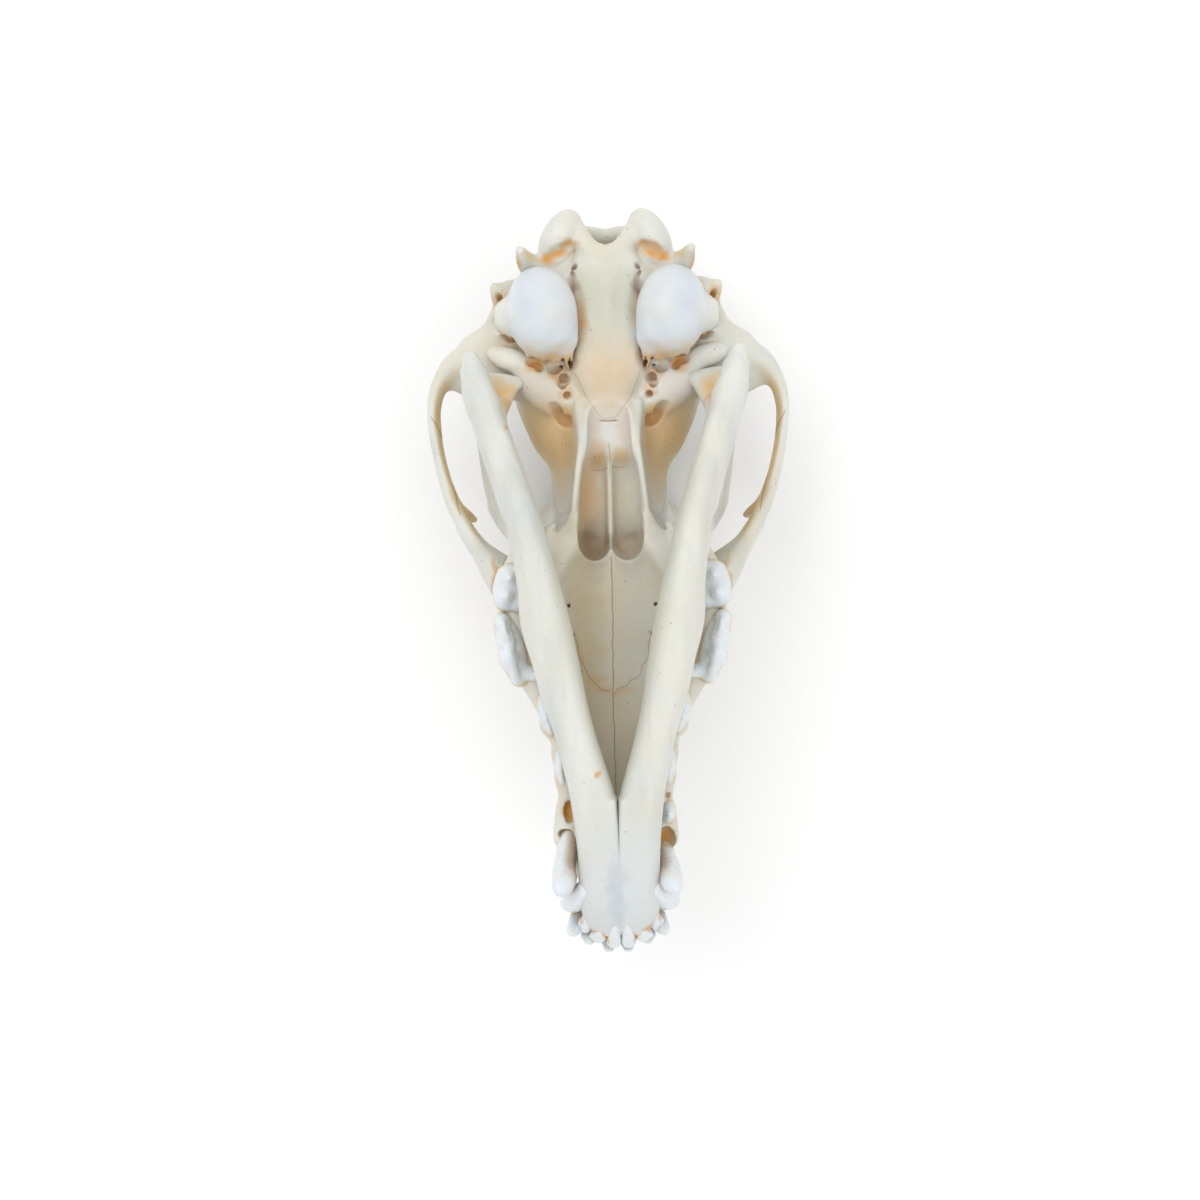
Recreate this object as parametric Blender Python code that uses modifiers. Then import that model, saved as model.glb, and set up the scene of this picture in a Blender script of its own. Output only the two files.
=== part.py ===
"""Coyote skull with its lower jaw, life size, lying crown down with the palate up.

Metres, +Z up. The midline lies in the plane X = 0, the snout points along -Y and the
back of the head along +Y. Sizes below are millimetres; MM turns them into metres.
"""

import math

import bmesh
import bpy
import numpy as np
from mathutils import Matrix, Vector

MM = 0.001

# Driving sizes: where the skull's ends, its widest points and its levels lie
LENGTH_MIDDLE = 6.75
ALVEOLAR_LEVEL = 58.5
BULLA = ((16.7, 76.0, 52.0), (8.9, 12.2, 9.6), 8.0)
NODE_GAP = 0.3
SIDES = (("left", -1.0), ("right", 1.0))
MISSING_TOOTH = ("p1", "left")

# Mesh sizes
RING_POINTS = 28
STATION_STEP = 2.5
VOXEL = 0.75
SMOOTH_FACTOR = 0.5
SKULL_PASSES = 6
TOOTH_PASSES = 3
JAW_PASSES = 4
SKULL_TRIANGLES = 8400
JAW_TRIANGLES = 1950
BALL_RINGS = 16
BULLA_RINGS = 10

# Lofts along Y: y, half width on top of the head, half width on the palate side,
# level of the top of the head, level of the palate side
BRAINCASE = (
    (27, 14.0, 17.0, 5.0, 37),
    (31, 14.0, 16.6, 5.0, 39),
    (36, 14.6, 17.4, 5.2, 42),
    (41, 17.6, 21.6, 5.6, 44.5),
    (48, 21.0, 24.8, 6.2, 46.5),
    (56, 24.0, 27.4, 6.8, 48),
    (66, 28.0, 30.6, 7.4, 49.5),
    (75, 28.4, 31.0, 7.6, 50),
    (82, 25.0, 29.4, 7.4, 49.5),
    (88, 19.5, 25.5, 7.4, 48.5),
    (94, 13.5, 20.0, 8.4, 45),
    (98.5, 6.0, 10.0, 14.0, 36),
)
SKULL_BASE = (
    (12, 1.6, 1.2, 40, 47.6),
    (24, 1.6, 1.2, 41, 47.8),
    (36, 1.6, 1.2, 42, 48.6),
    (46, 2.0, 1.4, 43, 49.8),
    (51, 6.0, 4.0, 44, 51.6),
    (56, 9.6, 7.0, 44, 52.6),
    (62, 11.5, 9.1, 44, 53.2),
    (67, 10.0, 7.6, 44, 53.2),
    (74, 9.5, 6.4, 44, 52.8),
    (84, 9.5, 6.9, 45, 52.4),
    (90, 9.5, 8.0, 46, 51.8),
    (93.5, 8.0, 6.0, 46.6, 50.8),
)
PTERYGOIDS = (
    (0, 14.0, 16.5, 20, 55.0),
    (9, 13.5, 15.0, 20, 55.6),
    (17, 13.5, 12.8, 20, 56.2),
    (25, 13.0, 11.2, 20, 56.4),
    (35, 13.0, 10.8, 20, 56.6),
    (44, 15.0, 10.2, 24, 57.0),
    (49, 16.0, 9.9, 30, 56.4),
    (53, 15.0, 9.6, 34, 51.0),
)
FACE = (
    (-87.5, 5.0, 8.4, 47, 58.0),
    (-84.5, 7.5, 11.4, 41, 59.0),
    (-81.4, 8.8, 12.2, 36, 59.4),
    (-77.6, 9.2, 8.6, 32.0, 59.6),
    (-74, 9.7, 10.8, 29.6, 59.8),
    (-70, 10.2, 14.8, 27.6, 60.0),
    (-65, 10.4, 16.3, 26.4, 60.0),
    (-56, 10.2, 15.6, 25.4, 59.8),
    (-46, 10.2, 15.2, 24.2, 59.4),
    (-38, 10.8, 15.8, 22.8, 59.2),
    (-30, 11.6, 18.6, 21.0, 59.2),
    (-22, 13.0, 23.4, 18.4, 59.2),
    (-14, 15.0, 27.4, 15.2, 59.2),
    (-6, 17.0, 28.6, 11.8, 59.0),
    (2, 18.0, 28.6, 8.2, 58.6),
    (10, 18.0, 27.0, 5.0, 54.0),
    (17, 17.5, 22.0, 4.0, 50.0),
    (23, 14.0, 15.0, 4.0, 46.0),
)
CHEEK_SHELF = (
    (0, 24.0, 28.4, 48.5, 59.0),
    (8, 21.0, 27.6, 49.5, 58.8),
    (14, 17.5, 22.5, 50.0, 58.4),
    (18, 15.0, 17.5, 50.5, 57.6),
)
FRONTALS = (
    (-12, 8.0, 15.0, 14.8, 34),
    (-3, 13.0, 17.5, 10.4, 36),
    (5, 17.0, 17.5, 6.0, 36),
    (12, 20.0, 16.5, 2.6, 36),
    (19, 21.0, 15.5, 1.2, 36),
    (25, 17.5, 15.0, 1.4, 36),
    (31, 12.0, 16.0, 2.0, 38),
    (38, 7.5, 18.0, 3.0, 40),
    (46, 5.0, 21.0, 4.6, 42),
)
# Each loft's name, rows and how square its sections are: 2 is an ellipse
SKULL_LOFTS = (
    ("braincase", BRAINCASE, 2.2),
    ("pterygoids", PTERYGOIDS, 3.0),
    ("face", FACE, 2.7),
    ("cheek_shelf", CHEEK_SHELF, 3.0),
    ("frontals", FRONTALS, 2.6),
)
BASE_SQUARENESS = 2.6
BAR_SQUARENESS = 2.3
JAW_BODY_SQUARENESS = 2.6
JAW_RAMUS_SQUARENESS = 2.4

# Hollows, as lofts of the same kind
PALATE_VAULT = (
    (-88, 1.5, 3.5, 56.0, 66),
    (-80, 3.0, 6.0, 55.4, 66),
    (-66, 6.0, 9.6, 54.6, 66),
    (-50, 7.0, 10.8, 54.0, 66),
    (-34, 9.0, 13.6, 53.6, 66),
    (-20, 13.0, 18.6, 53.2, 66),
    (-8, 16.0, 21.4, 53.0, 66),
    (4, 13.0, 17.6, 53.0, 66),
    (13, 8.8, 13.0, 53.2, 66),
)
THROAT_FOSSA = (
    (13.6, 6.0, 8.2, 38.0, 70),
    (17, 6.6, 9.0, 39.0, 70),
    (24, 7.4, 9.2, 41.0, 70),
    (33, 8.0, 9.0, 43.4, 70),
    (39, 7.8, 8.4, 46.8, 70),
    (46, 7.6, 8.2, 49.4, 70),
    (52, 7.0, 7.8, 51.4, 70),
    (57, 6.8, 7.4, 54.6, 70),
)
NOSTRIL = (
    (-93, 8.0, 8.5, 24, 51.0),
    (-86, 7.6, 8.0, 27, 50.0),
    (-78, 7.0, 7.4, 30, 48.5),
    (-70, 6.0, 6.4, 31, 47.0),
    (-62, 4.0, 4.6, 33, 45.0),
)
HOLLOW_LOFTS = (
    ("palate_vault", PALATE_VAULT, 2.4),
    ("throat_fossa", THROAT_FOSSA, 3.2),
    ("nostril", NOSTRIL, 2.3),
)

# Bars on both sides: x, y, z, half thickness across the bar, half height
ARCH = (
    (22.0, -5.0, 43.0, 4.6, 8.5),
    (26.4, 1.5, 43.4, 4.6, 7.4),
    (31.8, 9.6, 43.0, 4.0, 6.4),
    (37.2, 18.0, 41.0, 3.0, 6.2),
    (42.6, 27.5, 38.0, 2.0, 6.0),
    (45.5, 37.0, 36.6, 1.7, 5.6),
    (46.9, 46.0, 37.0, 1.75, 5.4),
    (47.0, 52.5, 38.4, 1.9, 4.6),
    (45.4, 58.4, 39.6, 2.4, 4.0),
    (41.4, 63.2, 40.2, 2.9, 3.6),
    (34.0, 66.4, 40.0, 3.6, 3.4),
    (26.0, 68.4, 40.0, 4.6, 4.0),
)
ORBIT_RIM = (
    (15.0, 6.0, 8.0, 2.6, 2.6),
    (18.4, 5.0, 13.0, 2.4, 2.4),
    (21.6, 4.0, 20.0, 2.6, 2.6),
    (24.4, 4.0, 28.0, 3.0, 3.0),
    (28.6, 6.0, 37.0, 3.6, 4.4),
)

# Knobs, crests and processes on both sides: x, y, z, radius
NUCHAL_CREST = (
    (0.0, 102.6, 4.8, 2.4),
    (8.0, 99.8, 8.6, 2.2),
    (14.5, 95.3, 16.2, 2.1),
    (19.6, 90.0, 27.0, 2.1),
    (23.6, 85.6, 36.0, 2.2),
    (27.0, 82.0, 44.0, 2.3),
)
ROOT_CREST = (
    (25.0, 82.0, 43.0, 2.8),
    (28.6, 77.5, 42.0, 2.7),
    (31.0, 73.0, 41.0, 2.8),
    (36.0, 69.0, 40.5, 3.0),
)
PARACONDYLAR = ((16.0, 87.0, 42.0, 5.0), (20.5, 89.6, 48.0, 3.2), (22.4, 92.0, 54.5, 1.5))
MASTOID = ((24.0, 82.0, 42.0, 4.4), (28.6, 82.6, 45.6, 2.5), (29.4, 83.4, 46.4, 1.8))
EAR_TUBE = ((20.0, 74.0, 47.0, 5.0), (27.0, 73.5, 45.5, 4.2))
FORAMEN_RIM = ((2.0, 92.6, 48.2, 2.4), (6.6, 96.6, 47.0, 2.6), (9.0, 101.0, 45.0, 2.8))
BROW = ((12.0, 15.4, 7.6, 5.4), (19.0, 18.2, 6.8, 4.2), (24.3, 21.2, 8.2, 1.7))
JUGAL_SPUR = ((41.6, 26.0, 35.0, 2.8), (39.2, 24.0, 31.5, 2.3), (37.4, 22.6, 28.6, 1.6))
TEMPORAL_LINE = (
    (20.4, 22.0, 4.6, 2.4),
    (14.8, 28.4, 4.2, 1.7),
    (8.0, 37.0, 4.4, 1.6),
    (1.0, 46.6, 4.6, 1.9),
)
SKULL_SPIKES = (
    ("nuchal_crest", NUCHAL_CREST),
    ("root_crest", ROOT_CREST),
    ("paracondylar", PARACONDYLAR),
    ("mastoid", MASTOID),
    ("ear_tube", EAR_TUBE),
    ("brow", BROW),
    ("jugal_spur", JUGAL_SPUR),
    ("temporal_line", TEMPORAL_LINE),
)
CREST_TOP = -1.6
CREST_HALF_THICKNESS = 1.3
# Rows of the crest of the crown: y, drop of its middle below its top, half height
CREST = ((40.0, 7.5, 4.0), (54.0, 7.0, 6.4), (82.0, 8.0, 8.0), (102.0, 8.0, 7.8))
ROOF_RIDGE = ((0.0, 44.0, 9.0, 4.0, 4.4), (0.0, 70.0, 9.4, 6.0, 5.0), (0.0, 98.0, 10.0, 5.0, 5.6))

# Ellipsoids: centre x, y, z, then half sizes along x, y, z, then yaw in degrees
CONDYLE = ((12.0, 96.4, 43.5), (5.2, 8.6, 8.6), -26.0)
FRONTAL_BOSS = ((10.8, 15.0, 7.4), (11.0, 14.0, 8.2), -20.0)
JOINT_SHELF = ((32.0, 61.5, 37.8), (13.0, 7.5, 4.7), -8.0)
JOINT_STOP = ((25.8, 66.2, 45.0), (6.2, 2.4, 6.4), -12.0)
OCCIPITAL_PLATE = ((0.0, 88.6, 28.0), (21.0, 10.2, 23.0), 0.0)
OCCIPITAL_TOP = ((0.0, 93.0, 15.0), (14.0, 8.0, 11.0), 0.0)
SKULL_BALLS = (
    ("condyle", CONDYLE),
    ("frontal_boss", FRONTAL_BOSS),
    ("joint_shelf", JOINT_SHELF),
    ("joint_stop", JOINT_STOP),
)
FORAMEN_MAGNUM = ((0.0, 97.5, 42.5), (7.6, 14.0, 8.0), 0.0)
ORBIT_HOLLOW = ((31.5, 16.5, 26.0), (15.0, 14.0, 19.5), -12.0)
EYE_TUNNEL = ((19.4, -20.0, 40.5), (2.4, 5.0, 3.2), 12.0)

# Crown base: share of the length along it, share of the width there
CROWN_OUTLINE = ((-1.0, 0.45), (-0.85, 0.82), (-0.4, 1.0), (0.4, 1.0), (0.85, 0.82), (1.0, 0.45))
ROOT_DEPTH = 2.5
SHOULDER_SHARE = 0.32
CUSP_SPREAD = 0.75
CUSP_FLARE = 0.7
CUSP_TIP = 0.5
# Each cusp: share of the width, share of the length, share of the height, radius
BLADE = ((0.0, -0.05, 1.0, 0.52), (0.0, -0.62, 0.5, 0.36), (0.0, 0.62, 0.55, 0.36))
CARNASSIAL = (
    (0.15, -0.25, 1.0, 0.42),
    (0.15, 0.45, 0.72, 0.38),
    (0.1, -0.75, 0.3, 0.3),
    (-0.9, -0.72, 0.35, 0.3),
)
GRINDER = (
    (0.55, -0.45, 1.0, 0.36),
    (0.55, 0.45, 0.9, 0.36),
    (-0.35, -0.25, 0.34, 0.3),
    (-0.75, 0.15, 0.3, 0.3),
)
LOWER_CARNASSIAL = (
    (0.0, -0.55, 0.72, 0.42),
    (0.0, -0.05, 1.0, 0.46),
    (0.3, 0.62, 0.3, 0.4),
)
# Cheek teeth: name, x, y, half width, half length, tip level, yaw, cusps
UPPER_CHEEK_TEETH = (
    ("p1", 13.3, -55.4, 1.7, 2.4, 62.2, 8.0, BLADE),
    ("p2", 14.1, -43.3, 1.8, 5.6, 62.6, 6.0, BLADE),
    ("p3", 17.6, -29.6, 2.2, 6.2, 64.2, 15.0, BLADE),
    ("p4", 26.0, -12.4, 3.9, 10.2, 68.2, 14.0, CARNASSIAL),
    ("m1", 24.2, 3.6, 6.3, 6.2, 64.2, -6.0, GRINDER),
    ("m2", 21.4, 13.0, 4.7, 3.0, 61.6, -14.0, GRINDER),
)
UPPER_CANINE = (
    (12.2, -61.0, 50.0, 2.6, 4.4),
    (12.9, -65.4, 59.0, 2.8, 4.6),
    (13.8, -69.0, 66.0, 2.7, 3.8),
    (14.6, -71.4, 72.0, 2.3, 2.9),
    (15.3, -72.8, 77.6, 1.0, 1.2),
)
UPPER_INCISORS = (
    ((2.2, -83.4, 54.0, 1.7, 1.9), (2.4, -87.6, 57.6, 2.1, 1.9), (2.6, -90.6, 61.0, 1.8, 1.0)),
    ((6.3, -82.6, 54.0, 1.9, 2.0), (7.0, -86.2, 58.6, 2.2, 2.1), (7.8, -88.4, 62.4, 1.8, 1.1)),
    ((10.6, -81.6, 53.0, 2.1, 2.1), (11.9, -83.8, 60.0, 2.3, 2.1), (13.0, -84.8, 67.4, 1.3, 1.3)),
)

# Half of the lower jaw: y, inner x, outer x, tooth row level, lower border level
JAW_BODY = (
    (-86, 0.4, 6.8, 63.4, 67.4),
    (-84, 0.35, 8.2, 62.5, 69.0),
    (-81, 0.35, 9.2, 62, 71.2),
    (-75, 0.35, 9.8, 61.5, 74),
    (-67, 0.35, 9.9, 62, 76.6),
    (-58, 0.4, 10.4, 62.5, 78.2),
    (-50, 0.6, 11.8, 63, 79.2),
    (-44, 2.2, 13.2, 63.5, 79.8),
    (-36, 4.6, 14.9, 63.5, 80.4),
    (-26, 6.9, 18.2, 63.5, 81.2),
    (-16, 8.7, 20.6, 63.5, 82.2),
    (-6, 10.5, 23.2, 63, 83.2),
    (4, 12.9, 23.8, 63.2, 83.6),
    (12, 15.0, 24.8, 62.4, 82.8),
    (20, 17.0, 26.2, 58, 80.6),
    (29, 19.9, 28.5, 55, 76.8),
    (38, 22.9, 31.5, 53, 72.6),
    (47, 26.0, 34.2, 53, 68.2),
    (55, 29.4, 36.3, 54, 64.5),
    (60, 31.8, 37.0, 56, 61.5),
)
# Ramus plate: z, front y, back y, x of its middle at the front, at the back, half thickness
JAW_RAMUS = (
    (66, 16, 50, 24.4, 31.5, 2.6),
    (58, 17.4, 52, 25.4, 32.6, 2.2),
    (50, 18.4, 54, 26.8, 33.6, 2.0),
    (42, 20.2, 51, 28.6, 34.0, 1.7),
    (34, 23.0, 48.5, 30.2, 34.0, 1.6),
    (26, 26.5, 46.5, 31.6, 34.0, 1.5),
    (19, 30.0, 43.5, 32.4, 34.0, 1.4),
    (14.5, 34.0, 39.5, 33.0, 33.6, 1.1),
)
JAW_CONDYLE = (
    (23.0, 58.0, 47.6, 2.2),
    (26.4, 58.0, 47.1, 2.9),
    (31.4, 58.4, 47.0, 3.0),
    (35.8, 59.0, 47.2, 2.2),
)
JAW_NECK = ((32.4, 49.0, 55.0, 3.8), (30.6, 55.5, 49.5, 3.5))
JAW_WEB = ((25.0, 56.4, 49.6, 2.0), (27.6, 51.6, 54.0, 2.5), (29.6, 46.0, 60.0, 2.7))
JAW_ANGLE = ((31.6, 52.0, 61.6, 3.8), (34.2, 59.0, 60.0, 2.8), (35.7, 64.6, 57.8, 1.8))
JAW_SPIKES = (
    ("jaw_condyle", JAW_CONDYLE),
    ("jaw_neck", JAW_NECK),
    ("jaw_web", JAW_WEB),
    ("jaw_angle", JAW_ANGLE),
)
JAW_YAW = 0.6
JAW_SHIFT = -0.4
JAW_PIVOT_Y = 20.0
JAW_GUM_LEVEL = 62.5
LOWER_CHEEK_TEETH = (
    ("p1", 9.2, -60.0, 1.5, 2.2, 61.0, 4.0, BLADE),
    ("p2", 10.2, -50.6, 1.8, 4.0, 60.6, 6.0, BLADE),
    ("p3", 11.8, -40.4, 1.9, 4.8, 60.4, 10.0, BLADE),
    ("p4", 14.0, -28.4, 2.2, 5.6, 60.0, 12.0, BLADE),
    ("m1", 17.0, -12.4, 2.5, 9.6, 57.2, 12.0, LOWER_CARNASSIAL),
    ("m2", 19.6, 3.6, 2.5, 4.2, 61.8, 14.0, GRINDER),
    ("m3", 21.2, 11.0, 1.7, 1.8, 62.0, 14.0, GRINDER),
)
LOWER_CANINE = (
    (8.0, -73.6, 71.0, 2.4, 3.4),
    (9.6, -76.6, 65.4, 2.5, 3.0),
    (11.8, -78.0, 58.6, 2.1, 2.2),
    (13.2, -77.8, 52.2, 1.4, 1.6),
    (13.7, -77.4, 47.8, 0.7, 0.8),
)
LOWER_INCISORS = (
    ((1.7, -82.4, 71.0, 1.1, 1.4), (1.8, -86.2, 67.0, 1.3, 1.4), (1.9, -88.8, 64.2, 1.4, 0.9)),
    ((4.8, -81.8, 70.0, 1.2, 1.4), (5.3, -85.4, 66.4, 1.7, 1.4), (5.7, -87.6, 64.0, 1.8, 0.9)),
    ((7.4, -80.2, 69.0, 1.2, 1.5), (8.5, -83.4, 65.6, 1.6, 1.5), (9.2, -85.2, 63.6, 1.5, 0.9)),
)

# Each bone's share of space: outlines seen from the side (y, z) or from above (x, y)
FRONT, BACK, CROWN, PALATE_SIDE = -120.0, 130.0, -20.0, 110.0
PREMAXILLA_OUTLINE = (
    (FRONT, CROWN), (-56.0, CROWN), (-58.0, 24.0), (-63.0, 34.0), (-71.0, 50.0),
    (-76.0, 61.0), (-77.4, PALATE_SIDE), (FRONT, PALATE_SIDE),
)
FRONTAL_OUTLINE = (
    (-10.0, CROWN), (-8.0, 17.0), (1.0, 27.0), (14.0, 31.0), (30.0, 29.0), (42.0, 14.0),
    (47.0, CROWN),
)
MAXILLA_OUTLINE = (
    (FRONT, CROWN), (20.0, CROWN), (18.0, 34.0), (17.0, 48.0), (20.0, PALATE_SIDE),
    (FRONT, PALATE_SIDE),
)
OCCIPITAL_OUTLINE = (
    (98.0, CROWN), (95.5, 9.0), (88.5, 30.0), (85.5, 44.0), (84.0, PALATE_SIDE),
    (BACK, PALATE_SIDE), (BACK, CROWN),
)
NASAL_SIDE_OUTLINE = (
    (-96.0, 34.0), (-70.0, 31.0), (-40.0, 27.0), (-12.0, 19.5), (4.0, 12.0), (4.0, CROWN),
    (-96.0, CROWN),
)
NASAL_TOP_OUTLINE = (
    (-6.4, -96.0), (6.4, -96.0), (6.4, -70.0), (5.6, -40.0), (4.6, -14.0), (2.0, -4.0),
    (-2.0, -4.0), (-4.6, -14.0), (-5.6, -40.0), (-6.4, -70.0),
)
ARCH_TOP_OUTLINE = (
    (33.0, -12.0), (32.0, 4.0), (26.6, 13.5), (26.6, 40.0), (34.0, 53.0), (38.4, 57.0),
    (39.6, 80.0), (70.0, 80.0), (70.0, -12.0),
)
REACH = 150.0

BONE_COLOR = (0.83, 0.79, 0.69, 1.0)
PALE_BONE_COLOR = (0.86, 0.87, 0.86, 1.0)
JAW_COLOR = (0.82, 0.80, 0.73, 1.0)
NODE_COLORS = (("auditory_bulla", PALE_BONE_COLOR), ("mandible", JAW_COLOR))
BONE_ROUGHNESS = 0.55


def clear_scene():
    for item in list(bpy.data.objects):
        bpy.data.objects.remove(item, do_unlink=True)


def bone_material(name):
    """Dry bone in the colour of the named node."""
    color = next((c for start, c in NODE_COLORS if name.startswith(start)), BONE_COLOR)
    material = bpy.data.materials.new(f"{name}_material")
    material.use_nodes = True
    shader = material.node_tree.nodes["Principled BSDF"]
    shader.inputs["Base Color"].default_value = color
    shader.inputs["Roughness"].default_value = BONE_ROUGHNESS
    shader.inputs["Metallic"].default_value = 0.0
    material.diffuse_color = color
    return material


def smooth_curve(rows, places):
    """Rows read from a smooth curve through the given ones, about one step apart."""
    count = max(2, int(round(places[-1] / STATION_STEP)) + 1)
    wanted = np.linspace(0.0, places[-1], count)
    slopes = np.gradient(rows, places, axis=0)
    index = np.clip(np.searchsorted(places, wanted, side="right") - 1, 0, len(rows) - 2)
    width = (places[index + 1] - places[index])[:, None]
    t = ((wanted - places[index]) / width[:, 0])[:, None]
    start, end = rows[index], rows[index + 1]
    rise_in, rise_out = slopes[index] * width, slopes[index + 1] * width
    smooth = t * t * (3.0 - 2.0 * t)
    bow = t * (1.0 - t)
    return start + (end - start) * smooth + bow * ((1.0 - t) * rise_in - t * rise_out)


def stations(rows):
    """Even stations along the rows' first value."""
    rows = np.asarray(rows, float)
    return smooth_curve(rows, np.abs(rows[:, 0] - rows[0, 0]))


def path_points(path):
    """Even points along a path in space."""
    path = np.asarray(path, float)
    gaps = np.linalg.norm(np.diff(path[:, :3], axis=0), axis=1)
    return smooth_curve(path, np.concatenate([[0.0], np.cumsum(gaps)]))


def body_from_rings(name, rings):
    """One closed mesh through rings of equally many points."""
    mesh_builder = bmesh.new()
    loops = [[mesh_builder.verts.new(Vector(p) * MM) for p in ring] for ring in rings]
    count = len(loops[0])
    for here, there in zip(loops, loops[1:]):
        for i in range(count):
            j = (i + 1) % count
            mesh_builder.faces.new((here[i], here[j], there[j], there[i]))
    mesh_builder.faces.new(loops[0])
    mesh_builder.faces.new(loops[-1])
    bmesh.ops.recalc_face_normals(mesh_builder, faces=mesh_builder.faces)
    mesh = bpy.data.meshes.new(name)
    mesh_builder.to_mesh(mesh)
    mesh_builder.free()
    return link(name, mesh)


def link(name, mesh):
    item = bpy.data.objects.new(name, mesh)
    bpy.context.scene.collection.objects.link(item)
    return item


def superellipse(squareness):
    angles = np.arange(RING_POINTS) * 2.0 * math.pi / RING_POINTS
    across, along = np.cos(angles), np.sin(angles)
    power = 2.0 / squareness
    return np.sign(across) * np.abs(across) ** power, np.sign(along) * np.abs(along) ** power


def loft(name, rows, squareness):
    """A body symmetric about the midline, from rows along y."""
    across, along = superellipse(squareness)
    rings = []
    for y, wide_top, wide_palate, top, palate in stations(rows):
        level = 0.5 * (top + palate) + 0.5 * (palate - top) * along
        width = 0.5 * (wide_top + wide_palate) + 0.5 * (wide_palate - wide_top) * along
        rings.append([(width[i] * across[i], y, level[i]) for i in range(RING_POINTS)])
    return body_from_rings(name, rings)


def jaw_body(name, side):
    across, along = superellipse(JAW_BODY_SQUARENESS)
    rings = []
    for y, inner, outer, upper, lower in stations(JAW_BODY):
        middle, half = 0.5 * (inner + outer), 0.5 * (outer - inner)
        level = 0.5 * (upper + lower) + 0.5 * (lower - upper) * along
        x = side * (middle + half * across)
        rings.append([(x[i], y, level[i]) for i in range(RING_POINTS)])
    return body_from_rings(name, rings)


def jaw_ramus(name, side):
    across, along = superellipse(JAW_RAMUS_SQUARENESS)
    rings = []
    for z, front, back, front_x, back_x, half in stations(JAW_RAMUS):
        y = 0.5 * (front + back) + 0.5 * (back - front) * along
        x = 0.5 * (front_x + back_x) + 0.5 * (back_x - front_x) * along + half * across
        rings.append([(side * x[i], y[i], z) for i in range(RING_POINTS)])
    return body_from_rings(name, rings)


def bar(name, path, side):
    """A bar along a path of x, y, z, half thickness and half height."""
    path = path_points(path)
    points = path[:, :3] * (side, 1.0, 1.0)
    across, along = superellipse(BAR_SQUARENESS)
    rings = []
    for i in range(len(points)):
        ahead = Vector(points[min(i + 1, len(points) - 1)])
        behind = Vector(points[max(i - 1, 0)])
        way = (ahead - behind).normalized()
        sideways = way.cross(Vector((0.0, 0.0, 1.0)))
        if sideways.length < 0.2:
            sideways = way.cross(Vector((0.0, 1.0, 0.0)))
        sideways.normalize()
        upward = sideways.cross(way).normalized()
        middle, thick, tall = Vector(points[i]), path[i, -2], path[i, -1]
        rings.append(
            [middle + sideways * thick * a + upward * tall * b for a, b in zip(across, along)]
        )
    return body_from_rings(name, rings)


def spike(name, path, side):
    """A round bar along a path of x, y, z and radius, with rounded ends."""
    path = np.asarray(path, float)
    return bar(name, np.column_stack([path, path[:, 3]]), side)


def ellipsoid(name, shape, side, grow=0.0, rings=BALL_RINGS):
    centre, half_sizes, yaw = shape
    builder = bmesh.new()
    bmesh.ops.create_uvsphere(builder, u_segments=2 * rings, v_segments=rings, radius=1.0)
    mesh = bpy.data.meshes.new(name)
    builder.to_mesh(mesh)
    builder.free()
    place = Matrix.Translation(Vector((side * centre[0], centre[1], centre[2])) * MM)
    turn = Matrix.Rotation(math.radians(-side * yaw), 4, "Z")
    size = Matrix.Diagonal([(half + grow) * MM for half in half_sizes] + [1.0])
    mesh.transform(place @ turn @ size)
    return link(name, mesh)


def cheek_tooth(name, tooth, gum_level, side):
    """A crown base sunk past the gum line, with a cone for each cusp."""
    _, x, y, half_width, half_length, tip, yaw, cusps = tooth
    reach = tip - gum_level
    turn = math.radians(yaw)
    root = gum_level - math.copysign(ROOT_DEPTH, reach)
    shoulder = gum_level + reach * SHOULDER_SHARE
    level, half_height = 0.5 * (root + shoulder), 0.5 * abs(shoulder - root)
    ahead = Vector((math.sin(turn), math.cos(turn), 0.0))
    outwards = Vector((math.cos(turn), -math.sin(turn), 0.0))
    crown = [
        (*(Vector((x, y, level)) + ahead * share * half_length), half_width * wide, half_height)
        for share, wide in CROWN_OUTLINE
    ]
    pieces = [bar(name, crown, side)]
    for k, (wide, long, high, radius) in enumerate(cusps):
        foot = Vector((x, y, 0.0)) + ahead * long * half_length
        foot += outwards * wide * half_width * CUSP_SPREAD
        base = radius * min(half_width * 1.5, half_length) + CUSP_FLARE
        path = (
            (foot.x, foot.y, root, base),
            (foot.x, foot.y, gum_level + reach * SHOULDER_SHARE * high, base),
            (foot.x, foot.y, gum_level + reach * high, CUSP_TIP),
        )
        pieces.append(spike(f"{name}_cusp_{k}", path, side))
    return pieces


def join(name, pieces):
    """The pieces as one mesh object, not yet fused."""
    builder = bmesh.new()
    for piece in pieces:
        builder.from_mesh(piece.data)
    mesh = bpy.data.meshes.new(name)
    builder.to_mesh(mesh)
    builder.free()
    for piece in pieces:
        bpy.data.objects.remove(piece, do_unlink=True)
    return link(name, mesh)


def settle(item):
    """Replaces the object's mesh by the one that its modifiers give."""
    graph = bpy.context.evaluated_depsgraph_get()
    mesh = bpy.data.meshes.new_from_object(item.evaluated_get(graph))
    item.modifiers.clear()
    item.data = mesh


def fuse(item, smoothing):
    """Makes one even skin around all the pieces of the mesh."""
    remesh = item.modifiers.new("fuse", "REMESH")
    remesh.mode = "VOXEL"
    remesh.voxel_size = VOXEL * MM
    smooth = item.modifiers.new("soften", "SMOOTH")
    smooth.factor = SMOOTH_FACTOR
    smooth.iterations = smoothing
    settle(item)


def thin_out(item, triangles):
    count = sum(len(face.vertices) - 2 for face in item.data.polygons)
    thin = item.modifiers.new("thin", "DECIMATE")
    thin.ratio = min(1.0, triangles / count)
    settle(item)


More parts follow.
